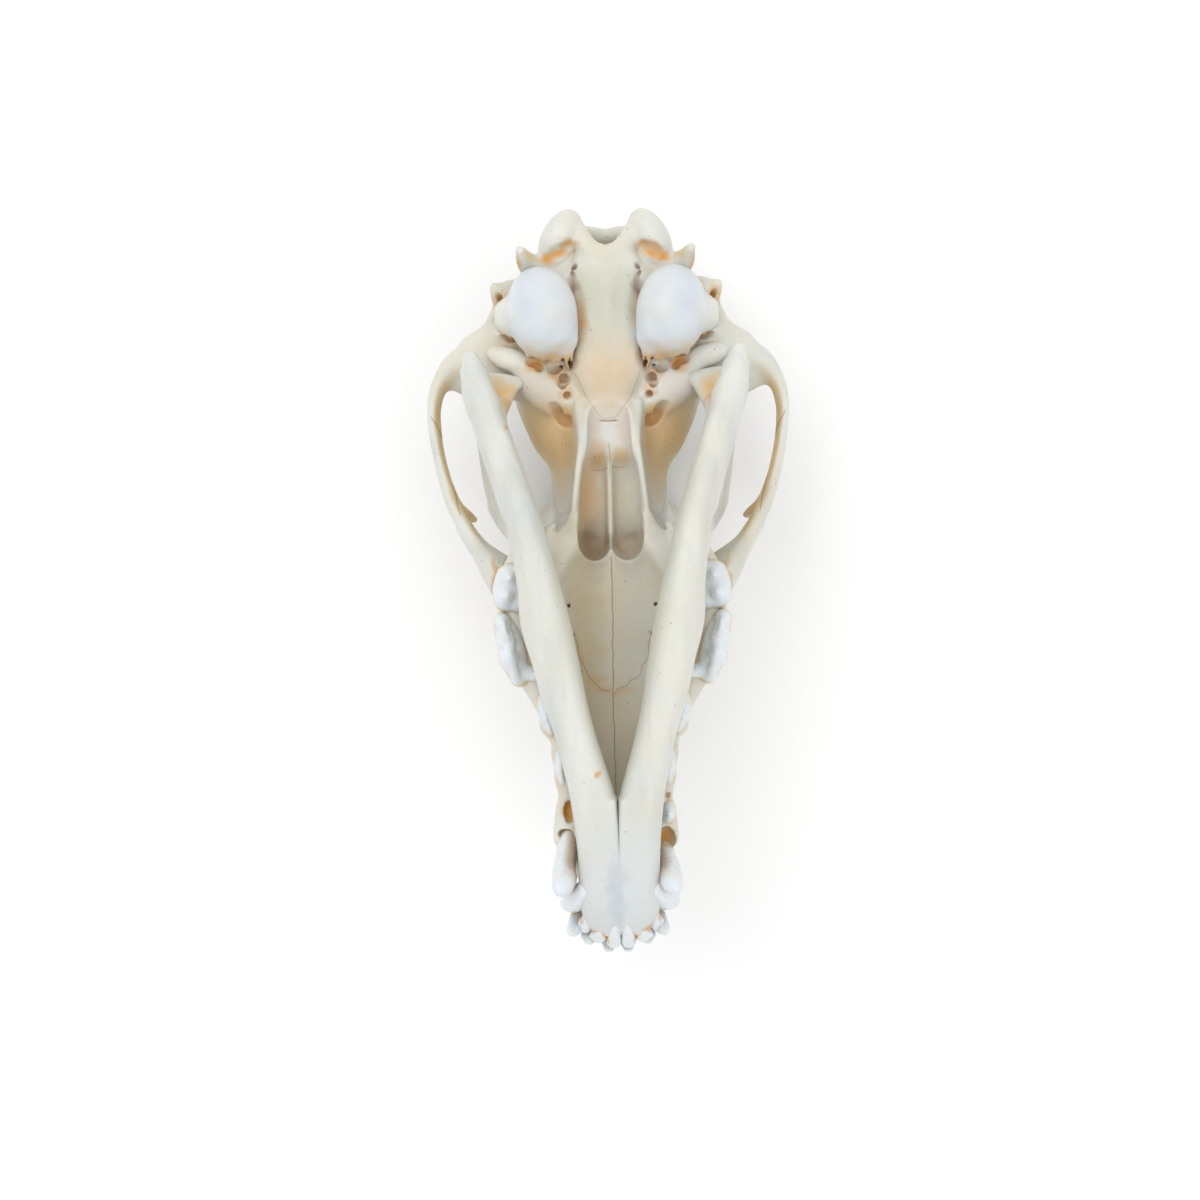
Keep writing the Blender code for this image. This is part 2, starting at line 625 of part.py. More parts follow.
def cut_with(item, cutter, operation):
    """Cuts the object with the cutter, which is then removed."""
    cut = item.modifiers.new("cut", "BOOLEAN")
    cut.operation = operation
    cut.object = cutter
    cut.solver = "EXACT"
    settle(item)
    bpy.data.objects.remove(cutter, do_unlink=True)


def largest_surface(item):
    """Keeps the largest closed surface of the mesh."""
    builder = bmesh.new()
    builder.from_mesh(item.data)
    left = set(builder.verts)
    groups = []
    while left:
        seed = left.pop()
        group, edge_of_group = {seed}, [seed]
        while edge_of_group:
            vertex = edge_of_group.pop()
            for link_edge in vertex.link_edges:
                other = link_edge.other_vert(vertex)
                if other in left:
                    left.discard(other)
                    group.add(other)
                    edge_of_group.append(other)
        groups.append(group)
    keep = max(groups, key=len)
    loose = [vertex for vertex in builder.verts if vertex not in keep]
    bmesh.ops.delete(builder, geom=loose, context="VERTS")
    bmesh.ops.triangulate(builder, faces=builder.faces)
    builder.to_mesh(item.data)
    builder.free()


def grown(outline, margin):
    """The closed outline with each side moved outwards by the margin."""
    points = np.asarray(outline, float)
    area = np.sum(points[:, 0] * np.roll(points[:, 1], -1) - points[:, 1] * np.roll(points[:, 0], -1))
    ways = np.roll(points, -1, axis=0) - points
    ways /= np.linalg.norm(ways, axis=1)[:, None]
    outward = np.column_stack([ways[:, 1], -ways[:, 0]]) * math.copysign(1.0, area)
    before = np.roll(outward, 1, axis=0)
    corner = (outward + before) / (1.0 + np.sum(outward * before, axis=1))[:, None]
    return points + corner * margin


def prism(name, outline, axis, margin=0.0):
    """A closed outline pushed out both ways along X (side view) or Z (seen from above)."""
    rings = []
    for far in (-REACH, REACH):
        flat = grown(outline, margin)
        rings.append([(far, a, b) if axis == "X" else (a, b, far) for a, b in flat])
    return body_from_rings(name, rings)


def skull_pieces():
    """Everything that the upper skull is fused from."""
    pieces = [loft(*row) for row in SKULL_LOFTS]
    pieces += [
        sagittal_crest(),
        bar("roof_ridge", ROOF_RIDGE, 1.0),
        ellipsoid("occipital_plate", OCCIPITAL_PLATE, 1.0),
        ellipsoid("occipital_top", OCCIPITAL_TOP, 1.0),
    ]
    for side_name, side in SIDES:
        pieces.append(bar(f"arch_{side_name}", ARCH, side))
        pieces.append(bar(f"orbit_rim_{side_name}", ORBIT_RIM, side))
        pieces += [spike(f"{name}_{side_name}", path, side) for name, path in SKULL_SPIKES]
        pieces += [ellipsoid(f"{name}_{side_name}", shape, side) for name, shape in SKULL_BALLS]
    return pieces


def sagittal_crest():
    path = [
        (0.0, y, CREST_TOP + drop, CREST_HALF_THICKNESS, half_height)
        for y, drop, half_height in CREST
    ]
    return bar("sagittal_crest", path, 1.0)


def upper_teeth():
    pieces = []
    for side_name, side in SIDES:
        for tooth in UPPER_CHEEK_TEETH:
            if (tooth[0], side_name) != MISSING_TOOTH:
                name = f"upper_{tooth[0]}_{side_name}"
                pieces += cheek_tooth(name, tooth, ALVEOLAR_LEVEL, side)
        pieces.append(bar(f"upper_canine_{side_name}", UPPER_CANINE, side))
        for k, path in enumerate(UPPER_INCISORS):
            pieces.append(bar(f"upper_i{k + 1}_{side_name}", path, side))
    return pieces


def hollow_cutters():
    cutters = [loft(*row) for row in HOLLOW_LOFTS]
    cutters.append(ellipsoid("foramen_magnum", FORAMEN_MAGNUM, 1.0))
    for side_name, side in SIDES:
        cutters.append(ellipsoid(f"orbit_hollow_{side_name}", ORBIT_HOLLOW, side))
        cutters.append(ellipsoid(f"eye_tunnel_{side_name}", EYE_TUNNEL, side))
    return cutters


def whole_skull():
    skull = join("skull", skull_pieces())
    fuse(skull, SKULL_PASSES)
    for cutter in hollow_cutters():
        cut_with(skull, cutter, "DIFFERENCE")
    added = [loft("skull_base", SKULL_BASE, BASE_SQUARENESS), *upper_teeth()]
    added += [spike(f"foramen_rim_{name}", FORAMEN_RIM, side) for name, side in SIDES]
    skull = join("skull", [skull, *added])
    fuse(skull, TOOTH_PASSES)
    flatten_rests(skull)
    thin_out(skull, SKULL_TRIANGLES)
    flatten_rests(skull)
    return skull


def flatten_rests(item):
    """Moves what lies under the floor up to it, which leaves small flats at one level."""
    for vertex in item.data.vertices:
        vertex.co.z = max(vertex.co.z, 0.0)


def arch_share(side, margin):
    outline = [(side * x, y) for x, y in ARCH_TOP_OUTLINE]
    return prism("arch_share", outline, "Z", margin)


def nasal_share(margin):
    share = prism("nasal_share", NASAL_TOP_OUTLINE, "Z", margin)
    cut_with(share, prism("nasal_side", NASAL_SIDE_OUTLINE, "X", margin), "INTERSECT")
    return share


def bulla_share(side, margin):
    return ellipsoid("bulla_share", BULLA, side, grow=margin, rings=BULLA_RINGS)


def bone_shares():
    """Each bone's name with the function that gives its share, first come first served."""
    shares = [(f"zygomatic_arch_{name}", lambda m, s=side: arch_share(s, m)) for name, side in SIDES]
    shares.append(("nasal_bones", nasal_share))
    for name, outline in (
        ("premaxilla", PREMAXILLA_OUTLINE),
        ("frontal_bones", FRONTAL_OUTLINE),
        ("occipital_bone", OCCIPITAL_OUTLINE),
        ("maxilla", MAXILLA_OUTLINE),
    ):
        shares.append((name, lambda m, o=outline: prism("share", o, "X", m)))
    return shares


def build_skull_bones():
    """The fused skull parted along its seams, each bone a node of its own."""
    rest = whole_skull()
    for _, side in SIDES:
        cut_with(rest, bulla_share(side, NODE_GAP), "DIFFERENCE")
    bones = []
    for name, share in bone_shares():
        bone = link(name, rest.data.copy())
        cut_with(bone, share(0.0), "INTERSECT")
        cut_with(rest, share(NODE_GAP), "DIFFERENCE")
        bones.append(bone)
    rest.name = "cranium"
    bones.append(rest)
    for side_name, side in SIDES:
        bulla = bulla_share(side, 0.0)
        bulla.name = f"auditory_bulla_{side_name}"
        bones.append(bulla)
    return bones


def build_jaw(side_name, side):
    pieces = [jaw_body(f"jaw_body_{side_name}", side), jaw_ramus(f"jaw_ramus_{side_name}", side)]
    pieces += [spike(f"{name}_{side_name}", path, side) for name, path in JAW_SPIKES]
    pieces.append(bar(f"lower_canine_{side_name}", LOWER_CANINE, side))
    for tooth in LOWER_CHEEK_TEETH:
        name = f"lower_{tooth[0]}_{side_name}"
        pieces += cheek_tooth(name, tooth, JAW_GUM_LEVEL, side)
    for k, path in enumerate(LOWER_INCISORS):
        pieces.append(bar(f"lower_i{k + 1}_{side_name}", path, side))
    jaw = join(f"mandible_{side_name}", pieces)
    fuse(jaw, JAW_PASSES)
    thin_out(jaw, JAW_TRIANGLES)
    pivot = Matrix.Translation((0.0, JAW_PIVOT_Y * MM, 0.0))
    turn = Matrix.Rotation(math.radians(JAW_YAW), 4, "Z")
    slide = Matrix.Translation((JAW_SHIFT * MM, 0.0, 0.0))
    jaw.data.transform(slide @ pivot @ turn @ pivot.inverted())
    return jaw


def collect(name, items):
    """Moves the objects into a collection of their own."""
    group = bpy.data.collections.new(name)
    bpy.context.scene.collection.children.link(group)
    for item in items:
        group.objects.link(item)
        bpy.context.scene.collection.objects.unlink(item)


def main():
    clear_scene()
    bones = build_skull_bones()
    bones += [build_jaw(side_name, side) for side_name, side in SIDES]
    for item in bones:
        largest_surface(item)
        item.data.materials.clear()
        item.data.materials.append(bone_material(item.name))
        item.data.transform(Matrix.Translation((0.0, -LENGTH_MIDDLE * MM, 0.0)))
        item.data.shade_smooth()
    collect("coyote_skull", bones)


main()
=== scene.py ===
"""Coyote skull with its lower jaw, lying crown down: the visual pieces over the CAD frame.

Shapes are sculpted as distances on a fine grid, in millimetres: x across the head, y along
it with the snout at the low end, z up from the floor, so the palate faces up.
"""

import math

import bpy
import numpy as np
from mathutils import Matrix, Vector


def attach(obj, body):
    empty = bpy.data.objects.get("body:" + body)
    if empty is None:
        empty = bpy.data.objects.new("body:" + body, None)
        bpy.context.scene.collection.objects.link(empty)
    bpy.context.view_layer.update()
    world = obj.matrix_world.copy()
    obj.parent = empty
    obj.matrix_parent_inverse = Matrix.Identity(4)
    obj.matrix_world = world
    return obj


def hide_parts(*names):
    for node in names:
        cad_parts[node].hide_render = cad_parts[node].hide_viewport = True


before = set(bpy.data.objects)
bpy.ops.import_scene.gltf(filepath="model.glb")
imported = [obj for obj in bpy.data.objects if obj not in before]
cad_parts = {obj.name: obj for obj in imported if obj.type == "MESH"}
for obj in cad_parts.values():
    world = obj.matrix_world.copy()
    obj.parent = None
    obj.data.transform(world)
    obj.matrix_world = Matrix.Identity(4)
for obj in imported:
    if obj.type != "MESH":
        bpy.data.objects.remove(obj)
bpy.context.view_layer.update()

# Millimetres in metres, and y of the middle of the skull's length
MM = 0.001
LENGTH_MIDDLE = 6.75
BONE_STEP = 0.45
TOOTH_STEP = 0.25
SIDES = (("left", -1), ("right", 1))
# Heights where the cheek teeth leave the bone, in the upper and the lower jaw
ALVEOLAR_LEVEL = 58.5
GUM_LEVEL = 62.6
# Each bone of the skull runs on past its seam and dips under its neighbour
LAP_REACH = 0.9
LAP_DIP = 0.15
# Low swells over the surface
BONE_SWELL = 0.16
CAPSULE_SWELL = 0.34
# How far around a place bone is counted to find narrow and broad recesses, which get ochre stain and
# painted shade
RECESS_REACHES = (1.3, 4.0)
# Distances that stand for empty space and for no seam nearby
FAR = 20.0
NO_SEAM = 9.0
# Strength of the lines where bones meet, and half the width of the band they show in
CUT_STRENGTH = 0.5
SEAM_BAND = 0.5
# Rounds of smoothing for a tooth
TOOTH_ROUNDS = 3
CANINE_ROUNDS = 14
SEED = 7

# Lowest and highest corners of the block of clay for each bone
SKULL_BLOCK = ((0.0, -93.0, -1.5), (51.5, 107.5, 63.0))
CAPSULE_BLOCK = ((5.0, 58.0, 40.0), (29.5, 91.0, 63.5))
JAW_BLOCK = ((-1.0, -87.0, 11.0), (40.0, 68.0, 85.0))

# Lofts: y, half width on the crown side, half width on the palate side, crown level, palate level
BRAINCASE = (
    (27, 14, 17, 5, 37),
    (31, 14, 16.6, 5, 39),
    (36, 14.6, 17.4, 5.2, 42),
    (41, 17.6, 21.6, 5.6, 44.5),
    (48, 21, 24.8, 6.2, 46.5),
    (56, 24, 27.4, 6.8, 48),
    (66, 28, 30.6, 7.4, 49.5),
    (75, 28.4, 31, 7.6, 50),
    (82, 25, 29.4, 7.4, 49.5),
    (88, 19.5, 25.5, 7.4, 48.5),
    (94, 13.5, 20, 8.4, 45),
    (98.5, 6, 10, 14, 36),
)
SKULL_BASE = (
    (12, 1.5, 1, 40, 47.2),
    (24, 1.4, 0.9, 41, 47.4),
    (36, 1.6, 1, 42, 48.2),
    (46, 2, 1.4, 43, 49.6),
    (51, 6, 3.8, 44, 51.4),
    (56, 9.6, 6.8, 44, 52.4),
    (62, 11.5, 9, 44, 53),
    (67, 10, 7.6, 44, 53),
    (74, 9.5, 6.2, 44, 52.6),
    (84, 9.5, 6.8, 45, 52.2),
    (90, 9.5, 8, 46, 51.6),
    (93.5, 8, 6, 46.6, 50.6),
)
PTERYGOIDS = (
    (0, 14, 16.5, 20, 55),
    (9, 13.5, 15, 20, 55.6),
    (17, 13.5, 11.8, 20, 56.2),
    (25, 13, 9.8, 20, 56.4),
    (35, 13, 8.7, 20, 56.6),
    (44, 14.6, 8.3, 24, 56.6),
    (49, 15.6, 8.4, 30, 55.4),
    (53, 15, 8.6, 34, 51),
)
FACE = (
    (-87.5, 5, 8.2, 47, 58),
    (-84.5, 7.5, 11.2, 41, 59),
    (-81.4, 8.8, 12, 36, 59.4),
    (-77.6, 9.2, 9.6, 32, 59.6),
    (-74, 9.7, 10.8, 29.6, 59.8),
    (-70, 10.2, 14.6, 27.6, 60),
    (-65, 10.4, 16.2, 26.4, 60),
    (-56, 10.2, 15.6, 25.4, 59.8),
    (-46, 10.2, 15, 24.2, 59.6),
    (-38, 10.8, 15.7, 22.8, 59.4),
    (-30, 11.6, 18.6, 21, 59.2),
    (-22, 13, 23.4, 18.4, 59.2),
    (-14, 15, 27.2, 15.2, 59.2),
    (-6, 17, 28.4, 11.8, 59),
    (2, 18, 28.4, 8.2, 58.6),
    (10, 18, 26.4, 5, 54),
    (17, 17.5, 21, 4, 50),
    (23, 14, 15, 4, 46),
)
CHEEK_SHELF = (
    (0, 24, 28.2, 48.5, 59),
    (8, 21, 27, 49.5, 58.8),
    (14, 17.5, 22.5, 50, 58.4),
    (18, 13.6, 14.6, 50.5, 57.2),
    (22, 10.8, 11, 51, 56.4),
)
FRONTALS = (
    (-12, 8, 15, 14.8, 34),
    (-3, 13, 17.5, 10.4, 36),
    (5, 17, 17.5, 6, 36),
    (12, 20, 16.5, 2.8, 36),
    (19, 21, 15.5, 1.4, 36),
    (25, 17.5, 15, 1.6, 36),
    (31, 12, 16, 2.2, 38),
    (38, 7.5, 18, 3.2, 40),
    (46, 5, 21, 4.8, 42),
)
PALATE_VAULT = (
    (-88, 1.5, 3.5, 56, 66),
    (-80, 3, 6, 55.4, 66),
    (-66, 6, 9.6, 54.6, 66),
    (-50, 7, 10.8, 54, 66),
    (-34, 9, 13.6, 53.6, 66),
    (-20, 13, 18.6, 53.2, 66),
    (-8, 16, 21.4, 53, 66),
    (4, 13, 17.6, 53, 66),
    (12, 9, 12.6, 54, 66),
    (18, 8, 10.6, 57.4, 66),
)
THROAT_FOSSA = (
    (13.6, 6.6, 8.8, 41, 70),
    (17, 7.4, 9.6, 41.4, 70),
    (24, 8, 9.3, 42.4, 70),
    (33, 7.4, 8.5, 44, 70),
    (35, 7, 8.1, 45, 70),
    (38, 6.4, 7.5, 48.2, 70),
    (46, 5.8, 6.9, 49.8, 70),
    (52, 5.6, 6.8, 51.4, 70),
    (57, 5.8, 7, 54.6, 70),
)
# The joint of the chin: y, inner x, outer x, lowest and highest level
SYMPHYSIS = (
    (-85.6, -0.5, 4, 64, 67.1),
    (-84, -0.8, 4.4, 63, 68.8),
    (-81, -0.9, 4.6, 62.4, 71.1),
    (-75, -0.9, 4.6, 62, 73.9),
    (-67, -0.8, 4.4, 62.4, 76.3),
    (-62, -0.2, 4, 63, 77.1),
    (-56, 0.1, 3.8, 63.2, 77.7),
    (-50.5, 0.5, 3.4, 63.4, 78),
)
# Hollows, with the columns of the lofts above
NOSTRIL = (
    (-93, 8, 8.5, 24, 51),
    (-86, 7.6, 8, 27, 50),
    (-78, 7, 7.4, 30, 48.5),
    (-70, 6, 6.4, 31, 47),
    (-60, 5, 5.6, 32, 46),
    (-45, 3, 3.6, 34, 44),
)
BRAIN_HOLLOW = (
    (40, 8, 10, 18, 34),
    (50, 17, 20, 13, 40),
    (62, 23, 26, 11, 43),
    (76, 24, 26, 11, 44),
    (86, 17, 20, 12, 44),
    (93, 8, 10, 20, 42),
)

# Bars: x, y, z, half thickness across the bar, half height
ARCH = (
    (22, -5, 43, 4.6, 8.5),
    (26.4, 1.5, 43.4, 4.6, 7.4),
    (31.8, 9.6, 43, 4, 6.4),
    (37.2, 18, 41, 3, 6.2),
    (42.6, 27.5, 38, 2, 6),
    (45.5, 37, 36.6, 1.6, 5.6),
    (46.9, 46, 37, 1.65, 5.4),
    (47, 52.5, 38.4, 1.8, 4.6),
    (45.4, 58.4, 39.6, 2.3, 4),
    (41.4, 63.2, 40.2, 2.9, 3.6),
    (34, 66.4, 40, 3.6, 3.4),
    (26, 68.4, 40, 4.6, 4),
)
ORBIT_RIM = (
    (15, 6, 8, 2.6, 2.6),
    (18.4, 5, 13, 2.4, 2.4),
    (21.6, 4, 20, 2.6, 2.6),
    (24.4, 4, 28, 3, 3),
    (28.6, 6, 37, 3.6, 4.4),
)
CREST = (
    (0, 40, 6.2, 1, 3.2),
    (0, 54, 5.8, 1, 5.6),
    (0, 82, 6.8, 1.2, 7),
    (0, 102, 7.2, 1.6, 7.2),
)
ROOF_RIDGE = ((0, 44, 9, 4, 4.4), (0, 70, 9.4, 6, 5), (0, 98, 10, 5, 5.6))

# Round rods: x, y, z, radius
NUCHAL_CREST = (
    (0, 102, 5, 2.2),
    (8, 99.4, 8.8, 1.9),
    (14.5, 95.2, 16.4, 1.8),
    (19.6, 90, 27, 1.8),
    (23.6, 85.6, 36, 2),
    (27, 82, 44, 2.2),
)
ROOT_CREST = (
    (25, 82, 43, 2.6),
    (28.6, 77.5, 42, 2.4),
    (31, 73, 41, 2.6),
    (36, 69, 40.5, 3),
)
PARACONDYLAR = ((16, 87, 42, 5), (20.5, 89.6, 48, 3), (22.4, 92, 54.5, 1.3))
MASTOID = ((24, 82, 42, 4.2), (28.6, 82.6, 45.6, 2.3), (29.4, 83.4, 46.4, 1.6))
EAR_TUBE = ((20, 74, 46, 5), (26, 73.5, 44.5, 4.4))
THROAT_RIM = (
    (10.2, 16, 52.6, 0.9),
    (9.9, 20, 53.8, 0.9),
    (9.2, 27, 54.6, 0.8),
    (8.2, 35, 54.8, 0.8),
    (7.4, 41, 54, 0.9),
    (7.4, 47, 52.2, 0.9),
    (8, 52, 50, 0.9),
)
BROW = ((12, 15, 8.4, 5.4), (19, 18, 7.4, 4), (24.4, 21.4, 8.8, 1.5))
JUGAL_SPUR = (
    (41.6, 25.6, 37.6, 2),
    (39.6, 23.8, 36, 1.9),
    (38, 22.9, 34.6, 1.4),
    (36.9, 22.5, 33.8, 0.8),
)
ARCH_ROOT = (
    (27, 7.6, 44, 3.6),
    (31, 10.8, 43.6, 3),
    (35.4, 14.6, 42.6, 2.6),
    (38.8, 19.6, 41.4, 2.2),
)
TEMPORAL_LINE = (
    (21, 22, 5, 2),
    (15.5, 28, 4.6, 1.3),
    (8, 37, 4.8, 1.2),
    (1, 46, 5, 1.6),
)

# Blobs: centre, half sizes, turns in degrees about z, then x
CONDYLE = ((12, 96.4, 43.5), (5.2, 8.6, 8.6), (-26, 0))
FRONTAL_BOSS = ((11, 14, 8), (11.5, 15, 8.4), (-20, 0))
JOINT_SHELF = ((32, 61.5, 38.2), (13, 7.4, 4.6), (-8, 0))
OCCIPITAL_PLATE = ((0, 88, 27), (21, 10, 23), (0, 0))
OCCIPITAL_TOP = ((0, 93, 15), (14, 8, 11), (0, 0))
FORAMEN_MAGNUM = ((0, 97.5, 42.5), (7.6, 14, 8), (0, 0))
ORBIT_HOLLOW = ((31.5, 16.5, 26), (15, 14, 19.5), (-12, 0))
BULLA = ((17.1, 76, 52), (9.4, 12.2, 9.6), (8, 0))
# Spikes of the ear capsule's front end: x, y of the foot, lean towards the midline, y of the tip, size
CAPSULE_SPIKES = (
    (9.8, 68.4, 0.5, 62.8, 1.2),
    (11.4, 66.8, 1, 60.4, 0.8),
    (13, 66.6, 0.4, 62.4, 1),
    (14.8, 65.8, 0.9, 61.2, 0.7),
    (17, 65.6, -0.3, 63.2, 1.1),
    (20.4, 67.4, -1, 64, 0.9),
)

# Body of the jaw: y, inner x, outer x, lowest and highest level
JAW_BODY = (
    (-86, 0.3, 6.6, 63.4, 67.3),
    (-84, 0.2, 8.1, 62.5, 69),
    (-81, 0.2, 9.6, 62, 71.2),
    (-75, 0.2, 10.4, 61.5, 74),
    (-67, 0.2, 10.4, 62, 76.6),
    (-58, 0.2, 10.7, 62.5, 78.2),
    (-50, 0.5, 11.8, 63, 79.2),
    (-44, 2.2, 13.2, 63.5, 79.8),
    (-36, 4.6, 14.9, 63.5, 80.4),
    (-26, 6.9, 18.2, 63.5, 81.2),
    (-16, 8.7, 20.6, 63.5, 82.2),
    (-6, 10.5, 23.2, 63, 83.2),
    (4, 12.9, 23.8, 63.2, 83.6),
    (12, 15, 24.8, 62.4, 82.8),
    (20, 17, 26, 58, 80.6),
    (29, 19.9, 28.2, 55, 76.8),
    (38, 22.9, 31.2, 53, 72.6),
    (47, 26, 34, 53, 68.2),
    (55, 29.4, 36.2, 54, 64.5),
    (60, 31.8, 36.9, 56, 61.5),
)
# Ramus plate: z, front y, back y, x of its middle at the front, at the back, half thickness
JAW_RAMUS = (
    (13.8, 36, 40.5, 33.2, 33.6, 0.9),
    (15.5, 33.2, 43.6, 33.6, 34.4, 1.2),
    (19, 30.2, 45.8, 33.2, 34.6, 1.3),
    (26, 26.5, 48, 32.2, 34.6, 1.4),
    (34, 23.2, 49.4, 30.6, 34.6, 1.5),
    (42, 20.4, 51, 28.4, 34.4, 1.6),
    (50, 18.4, 54, 25.4, 33.6, 1.8),
    (58, 17.4, 53, 23.6, 32.6, 2),
    (66, 16, 51, 22.4, 31.2, 2.2),
    (71, 20, 37, 22, 26.4, 1.8),
)
# Rims of bone that hold the cheek teeth: x, y, z, half thickness, half height
UPPER_RIM = (
    (12, -62, 55, 2.8, 3.6),
    (12.4, -54, 55.4, 2.6, 3.5),
    (12.6, -46, 55.6, 2.6, 3.4),
    (13.8, -37, 55.6, 2.8, 3.4),
    (16.6, -29, 55.4, 3, 3.5),
    (20.6, -21.5, 55, 3.4, 3.8),
    (24.2, -12, 54.6, 3.8, 4.2),
    (26, -2, 54.4, 4, 4.3),
    (25, 6, 54.4, 4.4, 4.3),
    (20.8, 14.6, 54.4, 3.8, 3.8),
)
LOWER_RIM = (
    (8.4, -66, 65.6, 1.8, 2.3),
    (9.4, -56, 65.6, 2, 2.4),
    (10.4, -48, 65.8, 2.1, 2.5),
    (12.2, -38, 65.8, 2.3, 2.6),
    (14.4, -26, 65.8, 2.5, 2.7),
    (17, -12, 65.6, 2.7, 2.7),
    (19.4, 2, 65.6, 2.8, 2.7),
    (21.4, 12, 65.4, 2.4, 2.6),
)
# Round rods of the jaw: x, y, z, radius
JAW_CONDYLE = (
    (23.4, 58.4, 47.8, 1.6),
    (26, 58.2, 47.2, 2.5),
    (31, 58.6, 47, 2.7),
    (35.6, 59.2, 47.2, 1.8),
)
JAW_NECK = ((32.4, 49, 55, 3.6), (30.4, 55.5, 49.5, 3.4))
JAW_WEB = ((24.6, 57, 49.4, 1.7), (27.6, 51.6, 54, 2.4), (29.6, 46, 60, 2.6))
JAW_ANGLE = ((31.6, 52, 61.6, 3.6), (33.7, 59, 60, 3.1), (35, 63.8, 57.6, 2.2))
# How the jaw lies: turned in degrees about a place along it, and shifted across
JAW_YAW = 0.6
JAW_SHIFT = -0.4
JAW_PIVOT_Y = 20.0


def unit(values):
    """Values held between 0 and 1."""
    return np.clip(values, 0.0, 1.0)


def linear(text):
    """Hex colour to linear values."""
    parts = np.array([int(text[i:i + 2], 16) for i in (0, 2, 4)]) / 255.0
    return np.where(parts <= 0.04045, parts / 12.92, ((parts + 0.055) / 1.055) ** 2.4)


CORNERS = [(i, j, k) for i in (0, 1) for j in (0, 1) for k in (0, 1)]
EDGES = [
    (a, b) for a in range(8) for b in range(a + 1, 8)
    if sum(abs(p - q) for p, q in zip(CORNERS[a], CORNERS[b])) == 1
]
LATTICE_SIZE = 4096
LATTICE = np.random.default_rng(SEED).random(LATTICE_SIZE)
# Large primes that scatter neighbouring cells over the lattice
CELL_PRIMES = (73856093, 19349663, 83492791)
SEED_PRIME = 7919


def noise(points, size, seed=0):
    """Smooth random values from 0 to 1, about one hill to each size in millimetres."""
    scaled = np.asarray(points) / size
    cell = np.floor(scaled).astype(np.int64)
    part = scaled - cell
    part = part * part * (3.0 - 2.0 * part)
    total = np.zeros(len(scaled))
    for corner in CORNERS:
        place = cell + corner
        key = np.bitwise_xor.reduce(place * CELL_PRIMES, axis=1)
        weight = np.prod(np.where(np.array(corner) == 1, part, 1.0 - part), axis=1)
        total += weight * LATTICE[(key + seed * SEED_PRIME) % LATTICE_SIZE]
    return total


def blended(a, b, radius):
    """Smooth minimum of two distances."""
    share = unit(0.5 + 0.5 * (b - a) / radius)
    return b + (a - b) * share - radius * share * (1.0 - share)


def along(rows, places):
    """Values of the rows on a smooth curve at the given places."""
    rows = np.asarray(rows, float)
    steps = rows[:, 0]
    slopes = np.gradient(rows, steps, axis=0)
    i = np.clip(np.searchsorted(steps, places, side="right") - 1, 0, len(steps) - 2)
    width = (steps[i + 1] - steps[i])[:, None]
    t = unit((places - steps[i])[:, None] / width)
    bow = t * (1.0 - t) * ((1.0 - t) * slopes[i] - t * slopes[i + 1]) * width
    return rows[i] + (rows[i + 1] - rows[i]) * t * t * (3.0 - 2.0 * t) + bow


def finer(path, parts=4):
    """A path through the same points with more of them, on smooth curves."""
    path = np.asarray(path, float)
    gaps = np.linalg.norm(np.diff(path[:, :3], axis=0), axis=1)
    places = np.concatenate([[0.0], np.cumsum(gaps)])
    wanted = np.interp(np.linspace(0, len(path) - 1, parts * (len(path) - 1) + 1),
                       np.arange(len(path)), places)
    return along(np.column_stack([places, path]), wanted)[:, 1:]


